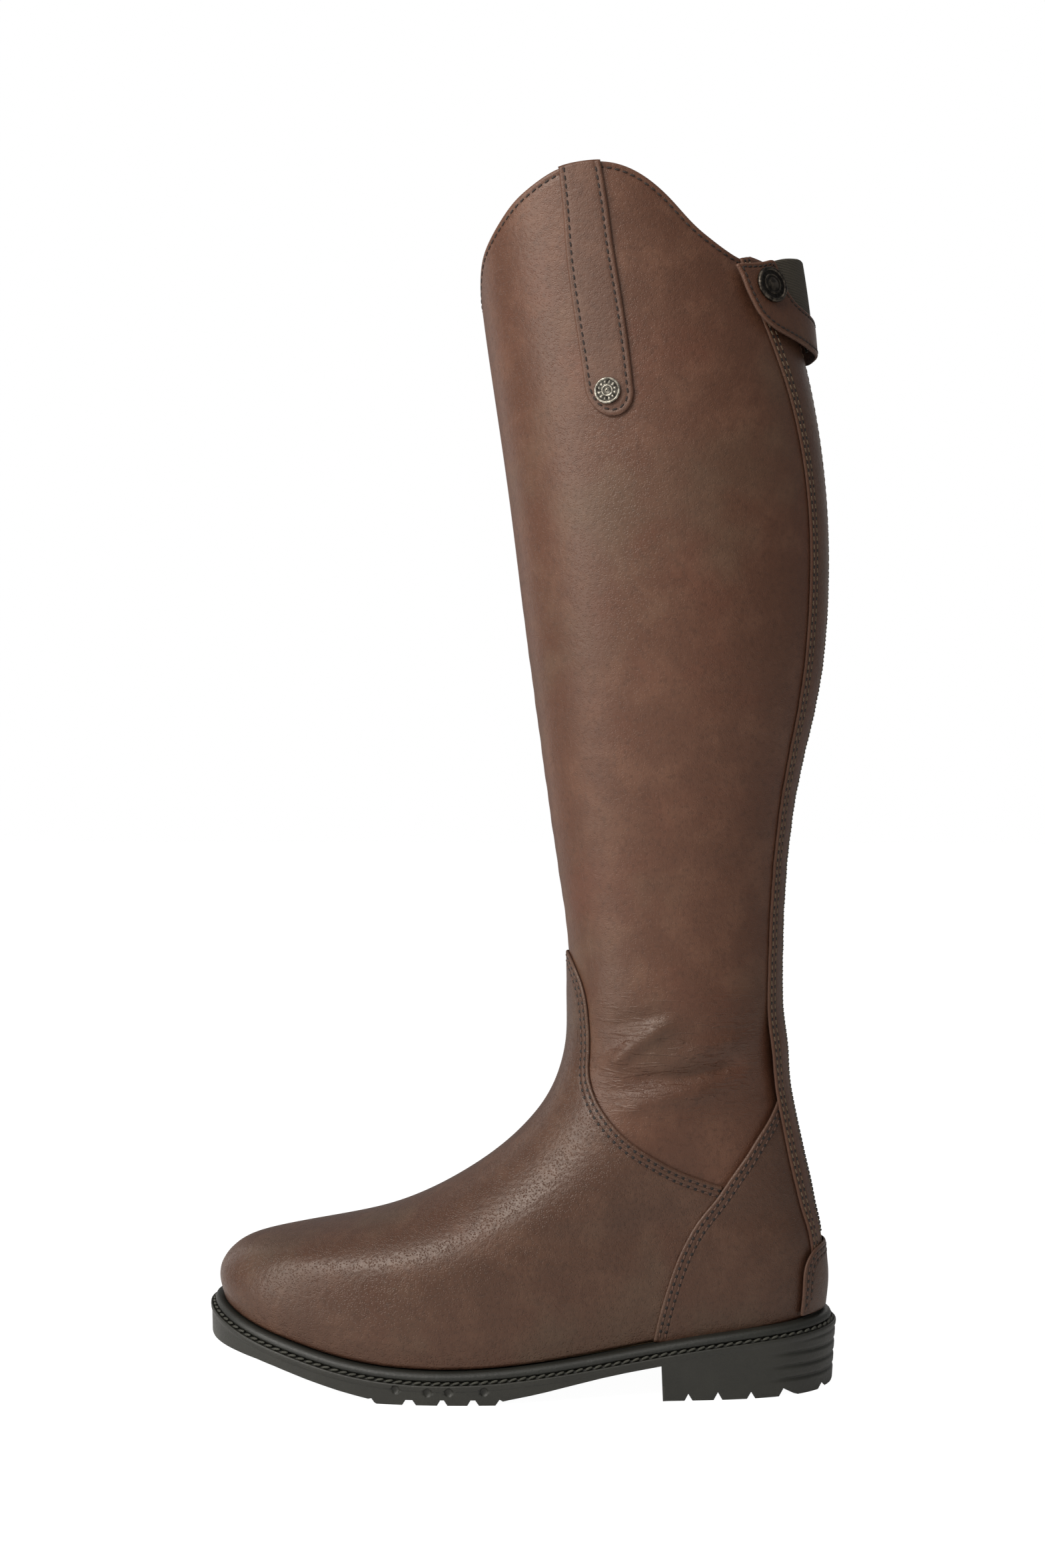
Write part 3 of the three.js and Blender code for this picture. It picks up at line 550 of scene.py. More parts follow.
def stitchRow(bank, curve, toward, distance, outer, pitch=None, spare=1.5, sunk=0.1):
    pitch = pitch or stitchSize["pitch"]
    a, v = inward(*curve, distance, toward)
    p = layerPoint(a, v, at(outer, a, v) - sunk)
    s = runLength(p)
    count = int((s[-1] - 2 * spare) / pitch)
    want = spare + (np.arange(count) + 0.5) * (s[-1] - 2 * spare) / count
    aa = np.interp(want, s, a)
    vv = np.interp(want, s, v)
    here = layerPoint(aa, vv, at(outer, aa, vv) - sunk)
    tangent = pointsAlong(want, s, np.gradient(p, axis=0))
    outward = baseNormal(aa, vv)
    layStitches(bank, here, unit(tangent), outward, stitchSize["length"], stitchSize["radius"])
    # dark discs between the stitches: painted shade of the needle holes
    between = want + 0.5 * (want[1] - want[0])
    aa = np.interp(between, s, a)
    vv = np.interp(between, s, v)
    here = layerPoint(aa, vv, at(outer, aa, vv) - sunk - 0.12)
    layStitches(bank + "Holes", here, unit(tangent), outward, 1.5, stitchSize["hole"], flat=0.4)


def finishStitches(bank, name, material, body, replaced=()):
    made = np.concatenate(stitchBank[bank])
    count = len(capsulePoints)
    faces = []
    for i in range(len(made)):
        faces.extend(tuple(k + i * count for k in f) for f in capsuleFaces)
    return newObject(name, shifted(made.reshape(-1, 3)), faces, [material], body, replaced)


# finishes

leatherTone = {
    "light": tone(106, 73, 56), "mid": tone(90, 58, 43), "dark": tone(66, 41, 29),
    "warm": tone(96, 50, 35), "olive": tone(78, 65, 51), "cut": tone(88, 62, 48), "rough": 0.43,
}


def oiledLeather(name, shade=(1, 1, 1), warm=0.25, grain=1.0, rough=None):
    look = Look(name)
    where = look.place()
    cloud = look.noise(9, 3, where, 0.5)
    mottle = look.noise(60, 5, where, 0.62)
    fleck = look.noise(420, 3, where, 0.6)
    cellsFine = look.cells(1150, "F1", where)
    cellsWide = look.cells(520, "SMOOTH_F1", where)
    base = look.mix(look.curve(cloud, 0.3, 0.7) * 0.3 + 0.5, leatherTone["dark"], leatherTone["mid"])
    base = look.mix(look.curve(mottle, 0.42, 0.7) * 0.45, base, leatherTone["light"])
    base = look.mix(look.curve(look.noise(26, 4, where), 0.5, 0.75) * warm, base, leatherTone["warm"])
    base = look.mix(look.curve(fleck, 0.48, 0.7) * 0.45, base, leatherTone["dark"])
    base = look.mix(look.curve(look.noise(15, 3, where, 0.55), 0.5, 0.68) * 0.38, base, leatherTone["olive"])
    # painted shade: the ankle wrinkles darkened in the colour
    base = look.mix(look.mask("creaseAndShade") * 0.35, base, leatherTone["dark"])
    # painted shade along the stitch grooves
    base = look.mix(look.mask("seam") * 0.45, base, leatherTone["dark"])
    # painted highlight along the rounded panel edges
    base = look.mix(look.mask("edgeHighlight") * 0.3, base, leatherTone["light"])
    # each panel's colour is scaled by its own factor: a tone change, and for the vamp and quarters a darker
    # copy that is partly painted shade
    base = look.mix(1.0, base, (*shade, 1), "MULTIPLY")
    pores = look.curve(cellsFine, 0.0, 0.5)
    height = pores * 0.6 + cellsWide * 0.7 + mottle * 0.5 + fleck * 0.5
    grainBump = look.bump(height, 0.0002 * grain, 0.75)
    laid = look.add("ShaderNodeMapping", {}, {"Vector": where, "Scale": (1, 1, 6), "Rotation": (0, -0.2, 0)})
    wrinkle = look.curve(look.noise(70, 2, laid, 0.5, 1.2), 0.5, 0.66)
    normal = look.bump(wrinkle * look.mask("creaseAndShade"), 0.0005, 0.5, grainBump)
    roughness = (rough or leatherTone["rough"]) + (mottle - 0.5) * 0.16 + (fleck - 0.5) * 0.12
    return look.surface({
        "Base Color": base, "Roughness": roughness.clamp(), "Normal": normal,
        "Specular IOR Level": 0.45, "Specular Tint": (1, 0.94, 0.88, 1)})


def cutEdge():
    look = Look("cutEdge")
    grain = look.noise(900, 3)
    base = look.mix(grain, leatherTone["dark"], leatherTone["cut"])
    return look.surface({"Base Color": base, "Roughness": 0.8, "Normal": look.bump(grain, 0.0002)})


def sewingThread(name, color):
    look = Look(name)
    twist = look.wave("DIAGONAL", 900, 1.5, look.place())
    base = look.mix(twist, color, brighter(color, 1.6))
    return look.surface({"Base Color": base, "Roughness": 0.62, "Normal": look.bump(twist, 0.00008)})


def soleRubber(name, color):
    look = Look(name)
    where = look.place()
    speck = look.noise(900, 4, where, 0.7)
    patch = look.noise(60, 4, where)
    scuff = look.noise(260, 5, where, 0.7, 1.2)
    base = look.mix(look.curve(patch, 0.3, 0.8) * 0.6, color, brighter(color, 1.7))
    base = look.mix(look.curve(scuff, 0.62, 0.8) * 0.5, base, tone(62, 62, 53))
    normal = look.bump(speck + scuff * 0.5, 0.00022, 0.7)
    roughness = 0.47 + (speck - 0.5) * 0.3
    return look.surface({"Base Color": base, "Roughness": roughness.clamp(), "Normal": normal})


def softLining():
    look = Look("softLining")
    where = look.place()
    nap = look.noise(700, 4, where, 0.7)
    base = look.mix(look.noise(30, 3, where), tone(74, 57, 46), tone(102, 80, 65))
    return look.surface({"Base Color": base, "Roughness": 0.78, "Normal": look.bump(nap, 0.0002, 0.6)})


def fibreBoard():
    look = Look("fibreBoard")
    fleck = look.noise(500, 5, look.place(), 0.8)
    base = look.mix(fleck, tone(120, 98, 70), tone(180, 158, 122))
    return look.surface({"Base Color": base, "Roughness": 0.9, "Normal": look.bump(fleck, 0.0002)})


def agedMetal(name, low, high, rough=0.34, grime=tone(24, 21, 18)):
    look = Look(name)
    where = look.place()
    stain = look.noise(380, 5, where, 0.65)
    pits = look.cells(900, "F1", where)
    base = look.mix(look.curve(stain, 0.35, 0.65), low, high)
    base = look.mix(look.mask("deep") * 0.85, base, grime)
    normal = look.bump(stain + pits * 0.3, 0.00012, 0.6)
    return look.surface({
        "Base Color": base, "Metallic": 0.85, "Roughness": (rough + (stain - 0.5) * 0.4).clamp(),
        "Normal": normal})


def wovenElastic():
    look = Look("wovenElastic")
    where = look.place()
    ribs = look.wave("Z", 260, 0.2, where)
    threads = look.wave("Y", 420, 0.4, where)
    fuzz = look.noise(1500, 2, where)
    weave = ribs * 0.7 + threads * 0.5 + fuzz * 0.3
    base = look.mix((weave * 0.6).clamp(), tone(44, 39, 31), tone(72, 65, 52))
    return look.surface({"Base Color": base, "Roughness": 0.85, "Normal": look.bump(weave, 0.0003, 0.8)})


def zipNylon(color):
    look = Look("zipDark")
    grain = look.noise(1200, 3)
    base = look.mix(grain, color, brighter(color, 1.5))
    return look.surface({"Base Color": base, "Roughness": 0.5, "Normal": look.bump(grain, 0.0001)})


leather = oiledLeather("legLeather")
# the vamp and quarters are darker copies of the leg leather: partly their own tone, partly painted shade
footLeather = oiledLeather("vampLeather", shade=(0.78, 0.85, 0.88), warm=0.15, grain=1.6, rough=0.4)
quarterLeather = oiledLeather("quarterLeather", shade=(0.7, 0.75, 0.77), warm=0.25, grain=1.3)
stripLeather = oiledLeather("stripLeather", shade=(0.9, 0.86, 0.8), rough=0.5)
strapLeather = oiledLeather("strapLeather", shade=(0.95, 1, 1.05), warm=0.0, rough=0.5)
rawEdge = cutEdge()
threadBrown = sewingThread("threadBrown", tone(29, 18, 13))
threadTan = sewingThread("threadTan", tone(74, 51, 40))
threadPale = sewingThread("threadPale", tone(94, 78, 60))
# dark discs for the needle holes: painted shade
needleHoleShade = sewingThread("needleHoleShade", tone(22, 14, 10))
threadBlack = sewingThread("threadBlack", tone(50, 50, 43))
rubber = soleRubber("soleRubber", tone(32, 32, 27))
weltRubber = soleRubber("weltRubber", tone(26, 27, 23))
lining = softLining()
board = fibreBoard()
antique = agedMetal("antiqueMetal", tone(34, 30, 27), tone(86, 79, 70))
silver = agedMetal("wornSilver", tone(96, 92, 84), tone(205, 200, 186), 0.3)
steel = agedMetal("plainSteel", tone(120, 120, 122), tone(170, 172, 175), 0.3)
elastic = wovenElastic()
zipDark = zipNylon(tone(40, 32, 27))
print("finishes ready")

# edges, as angle and level along each seam

edges = {
    "topline": [
        (-180, 21.78), (-160, 21.76), (-140, 21.74), (-120, 21.55), (-100, 21.4), (-80, 21.35),
        (-55, 21.38), (-30, 21.42), (-12, 21.42), (0, 21.44), (6, 21.56), (16, 21.86), (27, 22.1),
        (38, 22.32), (49, 22.55), (58, 22.7), (66, 22.82), (74, 22.91), (82, 22.95), (90, 22.96),
        (97, 22.92), (104, 22.81), (110, 22.64), (115, 22.43), (120, 22.18), (126, 21.98), (132, 21.84),
        (138, 21.75), (146, 21.72), (158, 21.74), (180, 21.78)],
    "vamp": [
        (0, 13.88), (8, 13.86), (16, 13.78), (24, 13.62), (30, 13.42), (34.5, 13.15), (36.6, 12.8),
        (38, 12.35), (39.6, 11.8), (42.5, 11.3), (48, 10.9), (56, 10.45), (69, 9.8), (84, 9.05),
        (97, 8.35), (108, 7.65), (117, 7.1), (126, 6.6), (134, 6.2)],
    "quarter": [
        (116.6, 0.02), (117.6, 0.9), (118.7, 1.8), (119.8, 2.8), (120.9, 3.8), (121.9, 4.7),
        (123.2, 5.6), (125.2, 6.4), (128, 7.15), (131.8, 7.9), (136.5, 8.6), (142.5, 9.12), (149.5, 9.6),
        (158, 10.1)],
    "strip": [
        (163.5, 0), (163.5, 1), (163.5, 2), (163, 3.4), (158, 6), (155, 7.75), (152, 9.6), (149.5, 11),
        (148, 12.2), (149, 13.5), (151, 14.8), (152, 15.9), (150.4, 17.4), (150, 18.8), (145.5, 20.1),
        (142, 20.6), (139.5, 21), (138, 21.5), (137.5, 22), (137, 23.5)],
}
toplineAt = spline(firsts(edges["topline"]), seconds(edges["topline"]))
stripEdgeAt = spline(seconds(edges["strip"]), firsts(edges["strip"]))
exposedBand = [0, 0.12, 0.35, 0.7, 1.2, 1.8, 2.3, 2.8, 3.3, 3.9, 4.5, 5.0, 5.5, 6.1, 7.2]
singleBand = [0, 0.12, 0.35, 0.7, 1.2, 1.7, 2.2, 2.7, 3.2, 3.9, 5.0]


def mirrorCurve(curve):
    return 360 - curve[0], curve[1]


# leg

legPanel = {
    "seamAngle": -45, "seamGap": 0.4, "rearAngle": 165, "step": 1.6, "fill": 170, "stitch": 2.6,
    "hidden": 0.75, "lowest": 6.2,
}


def vampTop(angle):
    a = np.abs((np.asarray(angle, float) + 180) % 360 - 180)
    return np.interp(a, firsts(edges["vamp"]), seconds(edges["vamp"]))


def makeLeg():
    seam, rear = legPanel["seamAngle"], legPanel["rearAngle"]
    for side, start, end in (("outer", seam, rear), ("inner", 360 - rear, 360 + seam - legPanel["seamGap"])):
        angles = np.linspace(start, end, 60)
        fold = (angles + 180) % 360 - 180
        top = resample(angles, toplineAt(fold), legPanel["step"])
        lowLevel = vampTop(angles) - legPanel["hidden"]
        lowAngles = np.clip(top[0], start, end)
        low = (lowAngles, np.interp(lowAngles, angles, np.maximum(lowLevel, legPanel["lowest"])))
        grid = panelGrid(top, low, singleBand, [0], legPanel["fill"])
        panel("leg" + side.title(), grid, 0, layers["legThick"], [leather, rawEdge], "boot",
              rows=[legPanel["stitch"]], replaced=["leg_" + side])
        stitchRow("leg", top, low, legPanel["stitch"], 0, sunk=0.06)


makeLeg()
print("leg made")

# vamp

vampPanel = {
    "step": 1.4, "fill": 110, "rows": [2.0, 4.6], "lowLevel": 0.03,
    "spread": [(0, 0), (36, 62), (44, 82), (70, 104), (100, 114), (126, 121.5)],
}


def makeVamp():
    half = edges["vamp"][:-1]
    whole = [(-a, v) for a, v in half[:0:-1]] + half
    top = resample(firsts(whole), seconds(whole), vampPanel["step"], layers["vamp"])
    # spread the foot line so that columns run roughly straight down
    spread = np.interp(np.abs(top[0]), firsts(vampPanel["spread"]), seconds(vampPanel["spread"]))
    low = (np.sign(top[0]) * spread, np.full(len(spread), vampPanel["lowLevel"]))
    grid = panelGrid(top, low, exposedBand, [0], vampPanel["fill"])
    panel("vamp", grid, layers["vamp"], layers["panelThick"], [footLeather, rawEdge], "boot",
          rows=vampPanel["rows"], replaced=["vamp"])
    for row in vampPanel["rows"]:
        stitchRow("vamp", top, low, row, layers["vamp"])


makeVamp()
print("vamp made")

# heel quarters

quarterPanel = {"step": 1.2, "fill": 46, "rows": [2.0, 4.6], "rearWidth": 11.5}


def makeQuarters():
    for side in ("outer", "inner"):
        front = resample(
            firsts(edges["quarter"]), seconds(edges["quarter"]), quarterPanel["step"], layers["quarter"])
        rear = (angleAtWidth(quarterPanel["rearWidth"], front[1]), front[1])
        if side == "inner":
            front, rear = mirrorCurve(front), mirrorCurve(rear)
        grid = panelGrid(front, rear, exposedBand, [0], quarterPanel["fill"])
        panel("quarter" + side.title(), grid, layers["quarter"], layers["panelThick"],
              [quarterLeather, rawEdge], "boot", rows=quarterPanel["rows"], replaced=["quarter_" + side])
        for row in quarterPanel["rows"]:
            stitchRow("quarter", front, rear, row, layers["quarter"])


makeQuarters()
print("quarters made")

# back strips

stripPanel = {"step": 1.6, "fill": 10, "rows": [2.0, 4.8], "slot": 4.6, "slotRow": 2.2, "lowLevel": 0.14}


def makeStrips():
    for side in ("outer", "inner"):
        lvls = np.linspace(stripPanel["lowLevel"], float(toplineAt(150)), 90)
        front = resample(stripEdgeAt(lvls), lvls, stripPanel["step"])
        slot = (angleAtWidth(stripPanel["slot"], front[1]), front[1])
        if side == "inner":
            front, slot = mirrorCurve(front), mirrorCurve(slot)
        grid = panelGrid(front, slot, exposedBand[:-1], singleBand[:-1], stripPanel["fill"])
        panel("backStrip" + side.title(), grid, stripOut, layers["stripThick"], [stripLeather, rawEdge],
              "boot", rows=stripPanel["rows"], replaced=["back_strip_" + side])
        for row in stripPanel["rows"]:
            stitchRow("strip", front, slot, row, stripOut)
        stitchRow("strip", slot, front, stripPanel["slotRow"], stripOut)


makeStrips()
print("back strips made")

# heel tab

heelTab = {
    "thick": 1.1, "rows": [2.2, 4.8], "lowAngle": 156.4, "lowLevel": 0.13,
    "corner": [
        (156.2, 0.14), (156.2, 0.8), (156.4, 1.4), (157.4, 2.1), (160, 2.62), (164.5, 2.95), (172, 3.08),
        (180, 3.1)],
}


def heelTabIn(angle, level):
    return stripOut(angle, level) + layers["gap"]


def heelTabOut(angle, level):
    return heelTabIn(angle, level) + heelTab["thick"]


def makeHeelTab():
    outline = heelTab["corner"] + [(360 - a, v) for a, v in heelTab["corner"][-2::-1]]
    top = resample(firsts(outline), seconds(outline), 1.0)
    start, count = heelTab["lowAngle"], len(top[0])
    low = (np.linspace(start, 360 - start, count), np.full(count, heelTab["lowLevel"]))
    grid = panelGrid(top, low, exposedBand[:-1], [0], 16)
    panel("heelTab", grid, heelTabOut, heelTab["thick"], [quarterLeather, rawEdge], "boot",
          rows=heelTab["rows"], replaced=["heel_tab"])
    for row in heelTab["rows"]:
        stitchRow("heel", top, low, row, heelTabOut, spare=2.5)


makeHeelTab()
print("heel tab made")

# side strap

strapShape = {
    "out": 1.7, "thick": 1.4, "row": 2.5, "startLevel": 22.92, "turnLevel": 20.1, "endLevel": 19.8,
    "foldIn": -4.9, "foldThick": 1.2,
    "left": [(72.5, 22.93), (70.5, 22.3), (68.6, 21.8), (67.3, 21.2), (66.7, 20.6), (66.4, 20.2)],
    "right": [(89.8, 22.97), (88, 22.3), (86.4, 21.8), (85.4, 21.2), (84.4, 20.6), (83.6, 20.2)],
}


def makeStrap():
    left, right = strapShape["left"], strapShape["right"]
    leftAt = spline([-v for v in seconds(left)], firsts(left))
    rightAt = spline([-v for v in seconds(right)], firsts(right))
    turn, end, start = strapShape["turnLevel"], strapShape["endLevel"], strapShape["startLevel"]
    body = np.linspace(start, turn, 80)
    mid = (leftAt(-body) + rightAt(-body)) / 2
    half = (rightAt(-body) - leftAt(-body)) / 2
    theta = np.linspace(0, math.pi / 2, 26)[1:]
    rounded = turn - (turn - end) * np.sin(theta)
    midEnd = np.full(len(theta), mid[-1]) + 0.2 * np.sin(theta)
    halfEnd = half[-1] * np.cos(theta) + 0.02
    lvls = np.concatenate([body, rounded])
    mids = np.concatenate([mid, midEnd])
    halves = np.concatenate([half, halfEnd])
    # rows across the strap, packed close to both edges
    half = [0.2, 0.35, 0.5, 0.6, 0.67, 0.73, 0.79, 0.85, 0.91, 0.955, 0.985, 1]
    across = np.array([-q for q in half[::-1]] + [0] + half)
    angles = mids[None, :] + halves[None, :] * across[:, None]
    lv = np.repeat(lvls[None, :], len(across), 0)
    lift = toplineAt(angles) - lvls[0]  # the upper end follows the topline
    lv = lv + lift * smoothstep(21.8, start, lv)
    p = layerPoint(angles, lv, strapShape["out"])
    edgeLine = np.concatenate([p[0], p[-1][::-1]])
    gaps = p.reshape(-1, 3)[:, None, :] - edgeLine[None, :, :]
    dist = np.min(np.linalg.norm(gaps, axis=2), axis=1).reshape(angles.shape)
    panel("sideStrap", (angles, lv, dist), strapShape["out"], strapShape["thick"],
          [strapLeather, rawEdge], "boot", rows=[strapShape["row"]], replaced=["side_strap"])
    around = np.concatenate([mids - halves, (mids + halves)[::-1]])
    outline = evenCurve((around, np.concatenate([lvls, lvls[::-1]])), 1.0)
    inside = (np.full(len(outline[0]), mids[40]), np.clip(outline[1], 20.3, 22.9))
    stitchRow("strap", outline, inside, strapShape["row"], strapShape["out"], spare=0.5)
    # the part that folds over the edge and down inside
    cols = np.linspace(-1, 1, 15)
    topMid = (leftAt(-start) + rightAt(-start)) / 2
    topHalf = (rightAt(-start) - leftAt(-start)) / 2
    edgeAngles = topMid + topHalf * cols
    ridge = toplineAt(edgeAngles)
    outside, inside = strapShape["out"], strapShape["foldIn"]
    over = []
    for t in np.linspace(0, math.pi, 15):
        depth = (outside + inside) / 2 + (outside - inside) / 2 * math.cos(t)
        over.append((0.014 * math.sin(t) ** 0.7, depth))
    for drop in np.linspace(0.03, 0.75, 14):
        over.append((-drop, inside))
    rows = np.array([layerPoint(edgeAngles, ridge + rise, depth) for rise, depth in over])
    normals = unit(np.cross(np.gradient(rows, axis=0), np.gradient(rows, axis=1)))
    facing = -1 if normals[0, 7].dot(baseNormal(80, 22.9)) < 0 else 1
    under = rows - normals * strapShape["foldThick"] * facing
    grid = np.concatenate([rows.reshape(-1, 3), under.reshape(-1, 3)])
    faces, rims = shellFaces(*rows.shape[:2], True)
    newObject("strapFold", shifted(grid), faces + rims, [strapLeather], "boot")


def evenCurve(curve, step):
    p = layerPoint(curve[0], curve[1], 0)
    s = runLength(p)
    want = np.linspace(0, s[-1], int(s[-1] / step) + 1)
    return np.interp(want, s, curve[0]), np.interp(want, s, curve[1])


makeStrap()
print("side strap made")

# turned metal parts


def turned(name, profile, centre, axis, material, body, replaced, ripple, deep):
    segments = 96
    axis = Vector(axis).normalized()
    side = axis.orthogonal().normalized()
    other = axis.cross(side)
    points = []
    depths = []
    for r, h in profile:
        for k in range(segments):
            a = 2 * math.pi * k / segments
            offset = side * (r * math.cos(a)) + other * (r * math.sin(a)) + axis * (h + ripple(r, a))
            points.append([centre[i] + offset[i] for i in range(3)])
            depths.append(deep(r, a))
    faces = cappedTube(len(profile), segments)
    giveMask(newObject(name, points, faces, [material], body, replaced), "deep", depths)


badgeShape = {"radius": 5.7, "angle": 74.5, "level": 20.06, "lift": 0.1}


def makeBadge():
    r = badgeShape["radius"]
    spot = np.array(badgeShape["angle"]), np.array(badgeShape["level"])
    centre = shifted(layerPoint(*spot, np.array(strapShape["out"] + badgeShape["lift"])))
    axis = baseNormal(*spot)
    profile = [
        (r - 0.5, -0.2), (r, 0.3), (r, 0.9), (r - 0.2, 1.3), (r - 0.55, 1.45), (r - 0.85, 1.35),
        (r - 1.05, 1.0), (r - 1.15, 0.75), (4.3, 0.72), (4.0, 0.72), (3.7, 0.72), (3.4, 0.72),
        (3.1, 0.72), (2.8, 0.74), (2.6, 0.8), (2.45, 1.1), (2.2, 1.25), (1.95, 1.1), (1.8, 0.85),
        (1.5, 0.85), (1.2, 1.2), (0.8, 1.45), (0.4, 1.55), (0.05, 1.58)]
    turned("badgeStud", profile, centre, axis, silver, "boot", ["badge_stud"],
           ripple=lambda q, a: 0.4 * petals(q, a), deep=lambda q, a: recess(q) * (1 - petals(q, a)))


def petals(q, a):  # twelve small beads in the ring's channel
    return max(0, math.cos(a * 12)) ** 0.7 * max(0, 1 - abs(q - 3.55) / 0.75)


def recess(q):
    return 1.0 if 2.5 < q < 4.6 or 1.4 < q < 1.9 else 0.0


makeBadge()

# snap tab

tabShape = {
    "rest": 3.1, "stand": 4.5, "lean": 6.8, "middleLevel": 20.8, "thick": 1.4, "elasticThick": 1.2,
    "bow": [(136, 0.04), (142, 0.1), (150, 0.28), (165, 0.74), (180, 1), (195, 0.8), (208, 0.4), (223, 0)],
    "upper": [(97, 490.8), (103, 492.1), (108.5, 493.5), (112.6, 494.5), (115.1, 489.2), (118.3, 482.5),
              (123.6, 476.9), (129.8, 474.4)],
    "lower": [(95.6, 489.8), (98.1, 485.2), (100.2, 479.5), (102.9, 474), (106.5, 468.5), (113.2, 463.5),
              (121.4, 460.5), (129.2, 458.4), (132.4, 457.9)],
    "elasticUpper": [(111.4, 494.4), (117, 497), (122, 499), (124.4, 499.8)],
    "elasticLower": [(111.6, 493.4), (114.6, 487.4), (117.6, 481), (122.9, 475.3), (129, 472.4)],
    "edgeAngle": 222.1, "elasticEdge": 221, "row": 1.9, "pitch": 2.9,
    "band": [0, 0.12, 0.35, 0.7, 1.2, 1.7, 2.2, 2.7, 3.4],
    "snapAngle": 145.3, "snapLevel": 21.34, "capRadius": 8,
}
bowAt = spline(firsts(tabShape["bow"]), seconds(tabShape["bow"]))


def tabIn(angle, level):
    lean = (np.asarray(level) - tabShape["middleLevel"]) * tabShape["lean"]
    return tabShape["rest"] + bowAt(angle) * (tabShape["stand"] + lean)


def tabOut(angle, level):
    return tabIn(angle, level) + tabShape["thick"]


def elasticOut(angle, level):
    return tabIn(angle, level) - 0.25


def outside(angle, level):  # a point on the tab's outer face
    return layerPoint(angle, level, tabOut(angle, level))


def aroundBack(points, offset, hinge):  # side view points to the outer side, then mirrored to the inner
    a, v = np.meshgrid(np.linspace(130, 180, 301), np.linspace(20, 22.8, 225), indexing="ij")
    p = layerPoint(a, v, offset(a, v))
    half = []
    for x, z in points:
        i = np.unravel_index(np.argmin((p[..., 0] - x) ** 2 + (p[..., 2] - z) ** 2), a.shape)
        if a[i] < 178:
            half.append((float(a[i]), float(v[i])))
    backLevel = half[-1][1] + (half[-1][1] - half[-2][1]) * 0.3
    whole = half + [(180, backLevel)] + [(360 - a, v) for a, v in half[::-1]]
    kept = [p for p in whole if p[0] < hinge]
    return firsts(kept) + [hinge], seconds(kept) + [whole[-1][1]]


def tabPiece(name, outlines, offset, thick, materials, bands, fill, rows, replaced):
    top, low = [resample(*outline, -150, 0) for outline in outlines]
    grid = panelGrid(top, low, *bands, fill)
    panel(name, grid, offset, thick, materials, "tab", rows, replaced)
    return top, low


def makeTab():
    row = tabShape["row"]
    outlines = [aroundBack(tabShape[key], tabOut, tabShape["edgeAngle"]) for key in ("upper", "lower")]
    top, low = tabPiece("snapTab", outlines, tabOut, tabShape["thick"], [stripLeather, rawEdge],
                        (tabShape["band"], tabShape["band"]), 14, [row], ["snap_tab"])
    stitchRow("tab", top, low, row, tabOut, pitch=tabShape["pitch"])
    stitchRow("tab", low, top, row, tabOut, pitch=tabShape["pitch"])
    outlines = [aroundBack(tabShape[key], elasticOut, tabShape["elasticEdge"])
                for key in ("elasticUpper", "elasticLower")]
    tabPiece("tabElastic", outlines, elasticOut, tabShape["elasticThick"], [elastic],
             ([0, 0.3, 0.8, 1.5], [0]), 18, (), ["tab_elastic"])
    # snap cap
    a, v = np.array(tabShape["snapAngle"]), np.array(tabShape["snapLevel"])
    here = outside(a, v)
    facing = unit(np.cross(outside(a + 2, v) - outside(a - 2, v), outside(a, v + 0.1) - outside(a, v - 0.1)))
    r = tabShape["capRadius"]
    profile = [
        (r - 0.7, -0.2), (r, 0.25), (r + 0.05, 0.8), (r - 0.2, 1.35), (r - 0.6, 1.7), (r - 1.0, 1.75),
        (r - 1.35, 1.55), (r - 1.6, 1.2), (r - 1.8, 1.05), (5.8, 1.05), (5.4, 1.05), (5.0, 1.08),
        (4.7, 1.1), (4.5, 1.3), (4.2, 1.5), (3.9, 1.5), (3.6, 1.35), (3.3, 1.2), (2.6, 1.45),
        (1.8, 1.75), (1, 1.9), (0.05, 1.95)]
    turned("snapCap", profile, shifted(here + facing * 0.25), facing, antique, "tab", ["snap_cap"],
           ripple=lambda q, t: 0.3 * max(0, math.cos(t * 16)) * max(0, 1 - abs(q - 5.4) / 0.7),
           deep=lambda q, t: 1.0 if 4.6 < q < 6.4 or 3.2 < q < 3.7 else 0.0)


# the fold lies along the axis that the tab turns on
tabFold = {
    "center": (105.17, 39.2, 479.0), "axis": (-0.2856, -0.0097, 0.9583), "facing": (0.3, 0.95, 0.1),
    "wide": 0.8, "deep": 1.3, "drop": 0.75, "reach": 12.8,
}


def makeTabFold():  # the sewn edge, which closes the gap when the tab is open
    along = unit(np.array(tabFold["axis"]))
    out = np.array(tabFold["facing"])
    out = unit(out - along * (out @ along))
    side = np.cross(along, out)
    middle = np.array(tabFold["center"]) - out * tabFold["drop"]
    rings, sides = 17, 16
    points = []
    for t in np.linspace(-1, 1, rings):
        swell = max(0.05, (1 - abs(t) ** 8) ** 0.5)
        for k in range(sides):
            a = 2 * math.pi * k / sides
            across = side * math.cos(a) * tabFold["wide"] + out * math.sin(a) * tabFold["deep"]
            points.append(middle + along * t * tabFold["reach"] + across * swell)
    newObject("tabFold", np.array(points), cappedTube(rings, sides), [stripLeather], "boot")


makeTab()
makeTabFold()
print("snap tab made")

# welt and sole

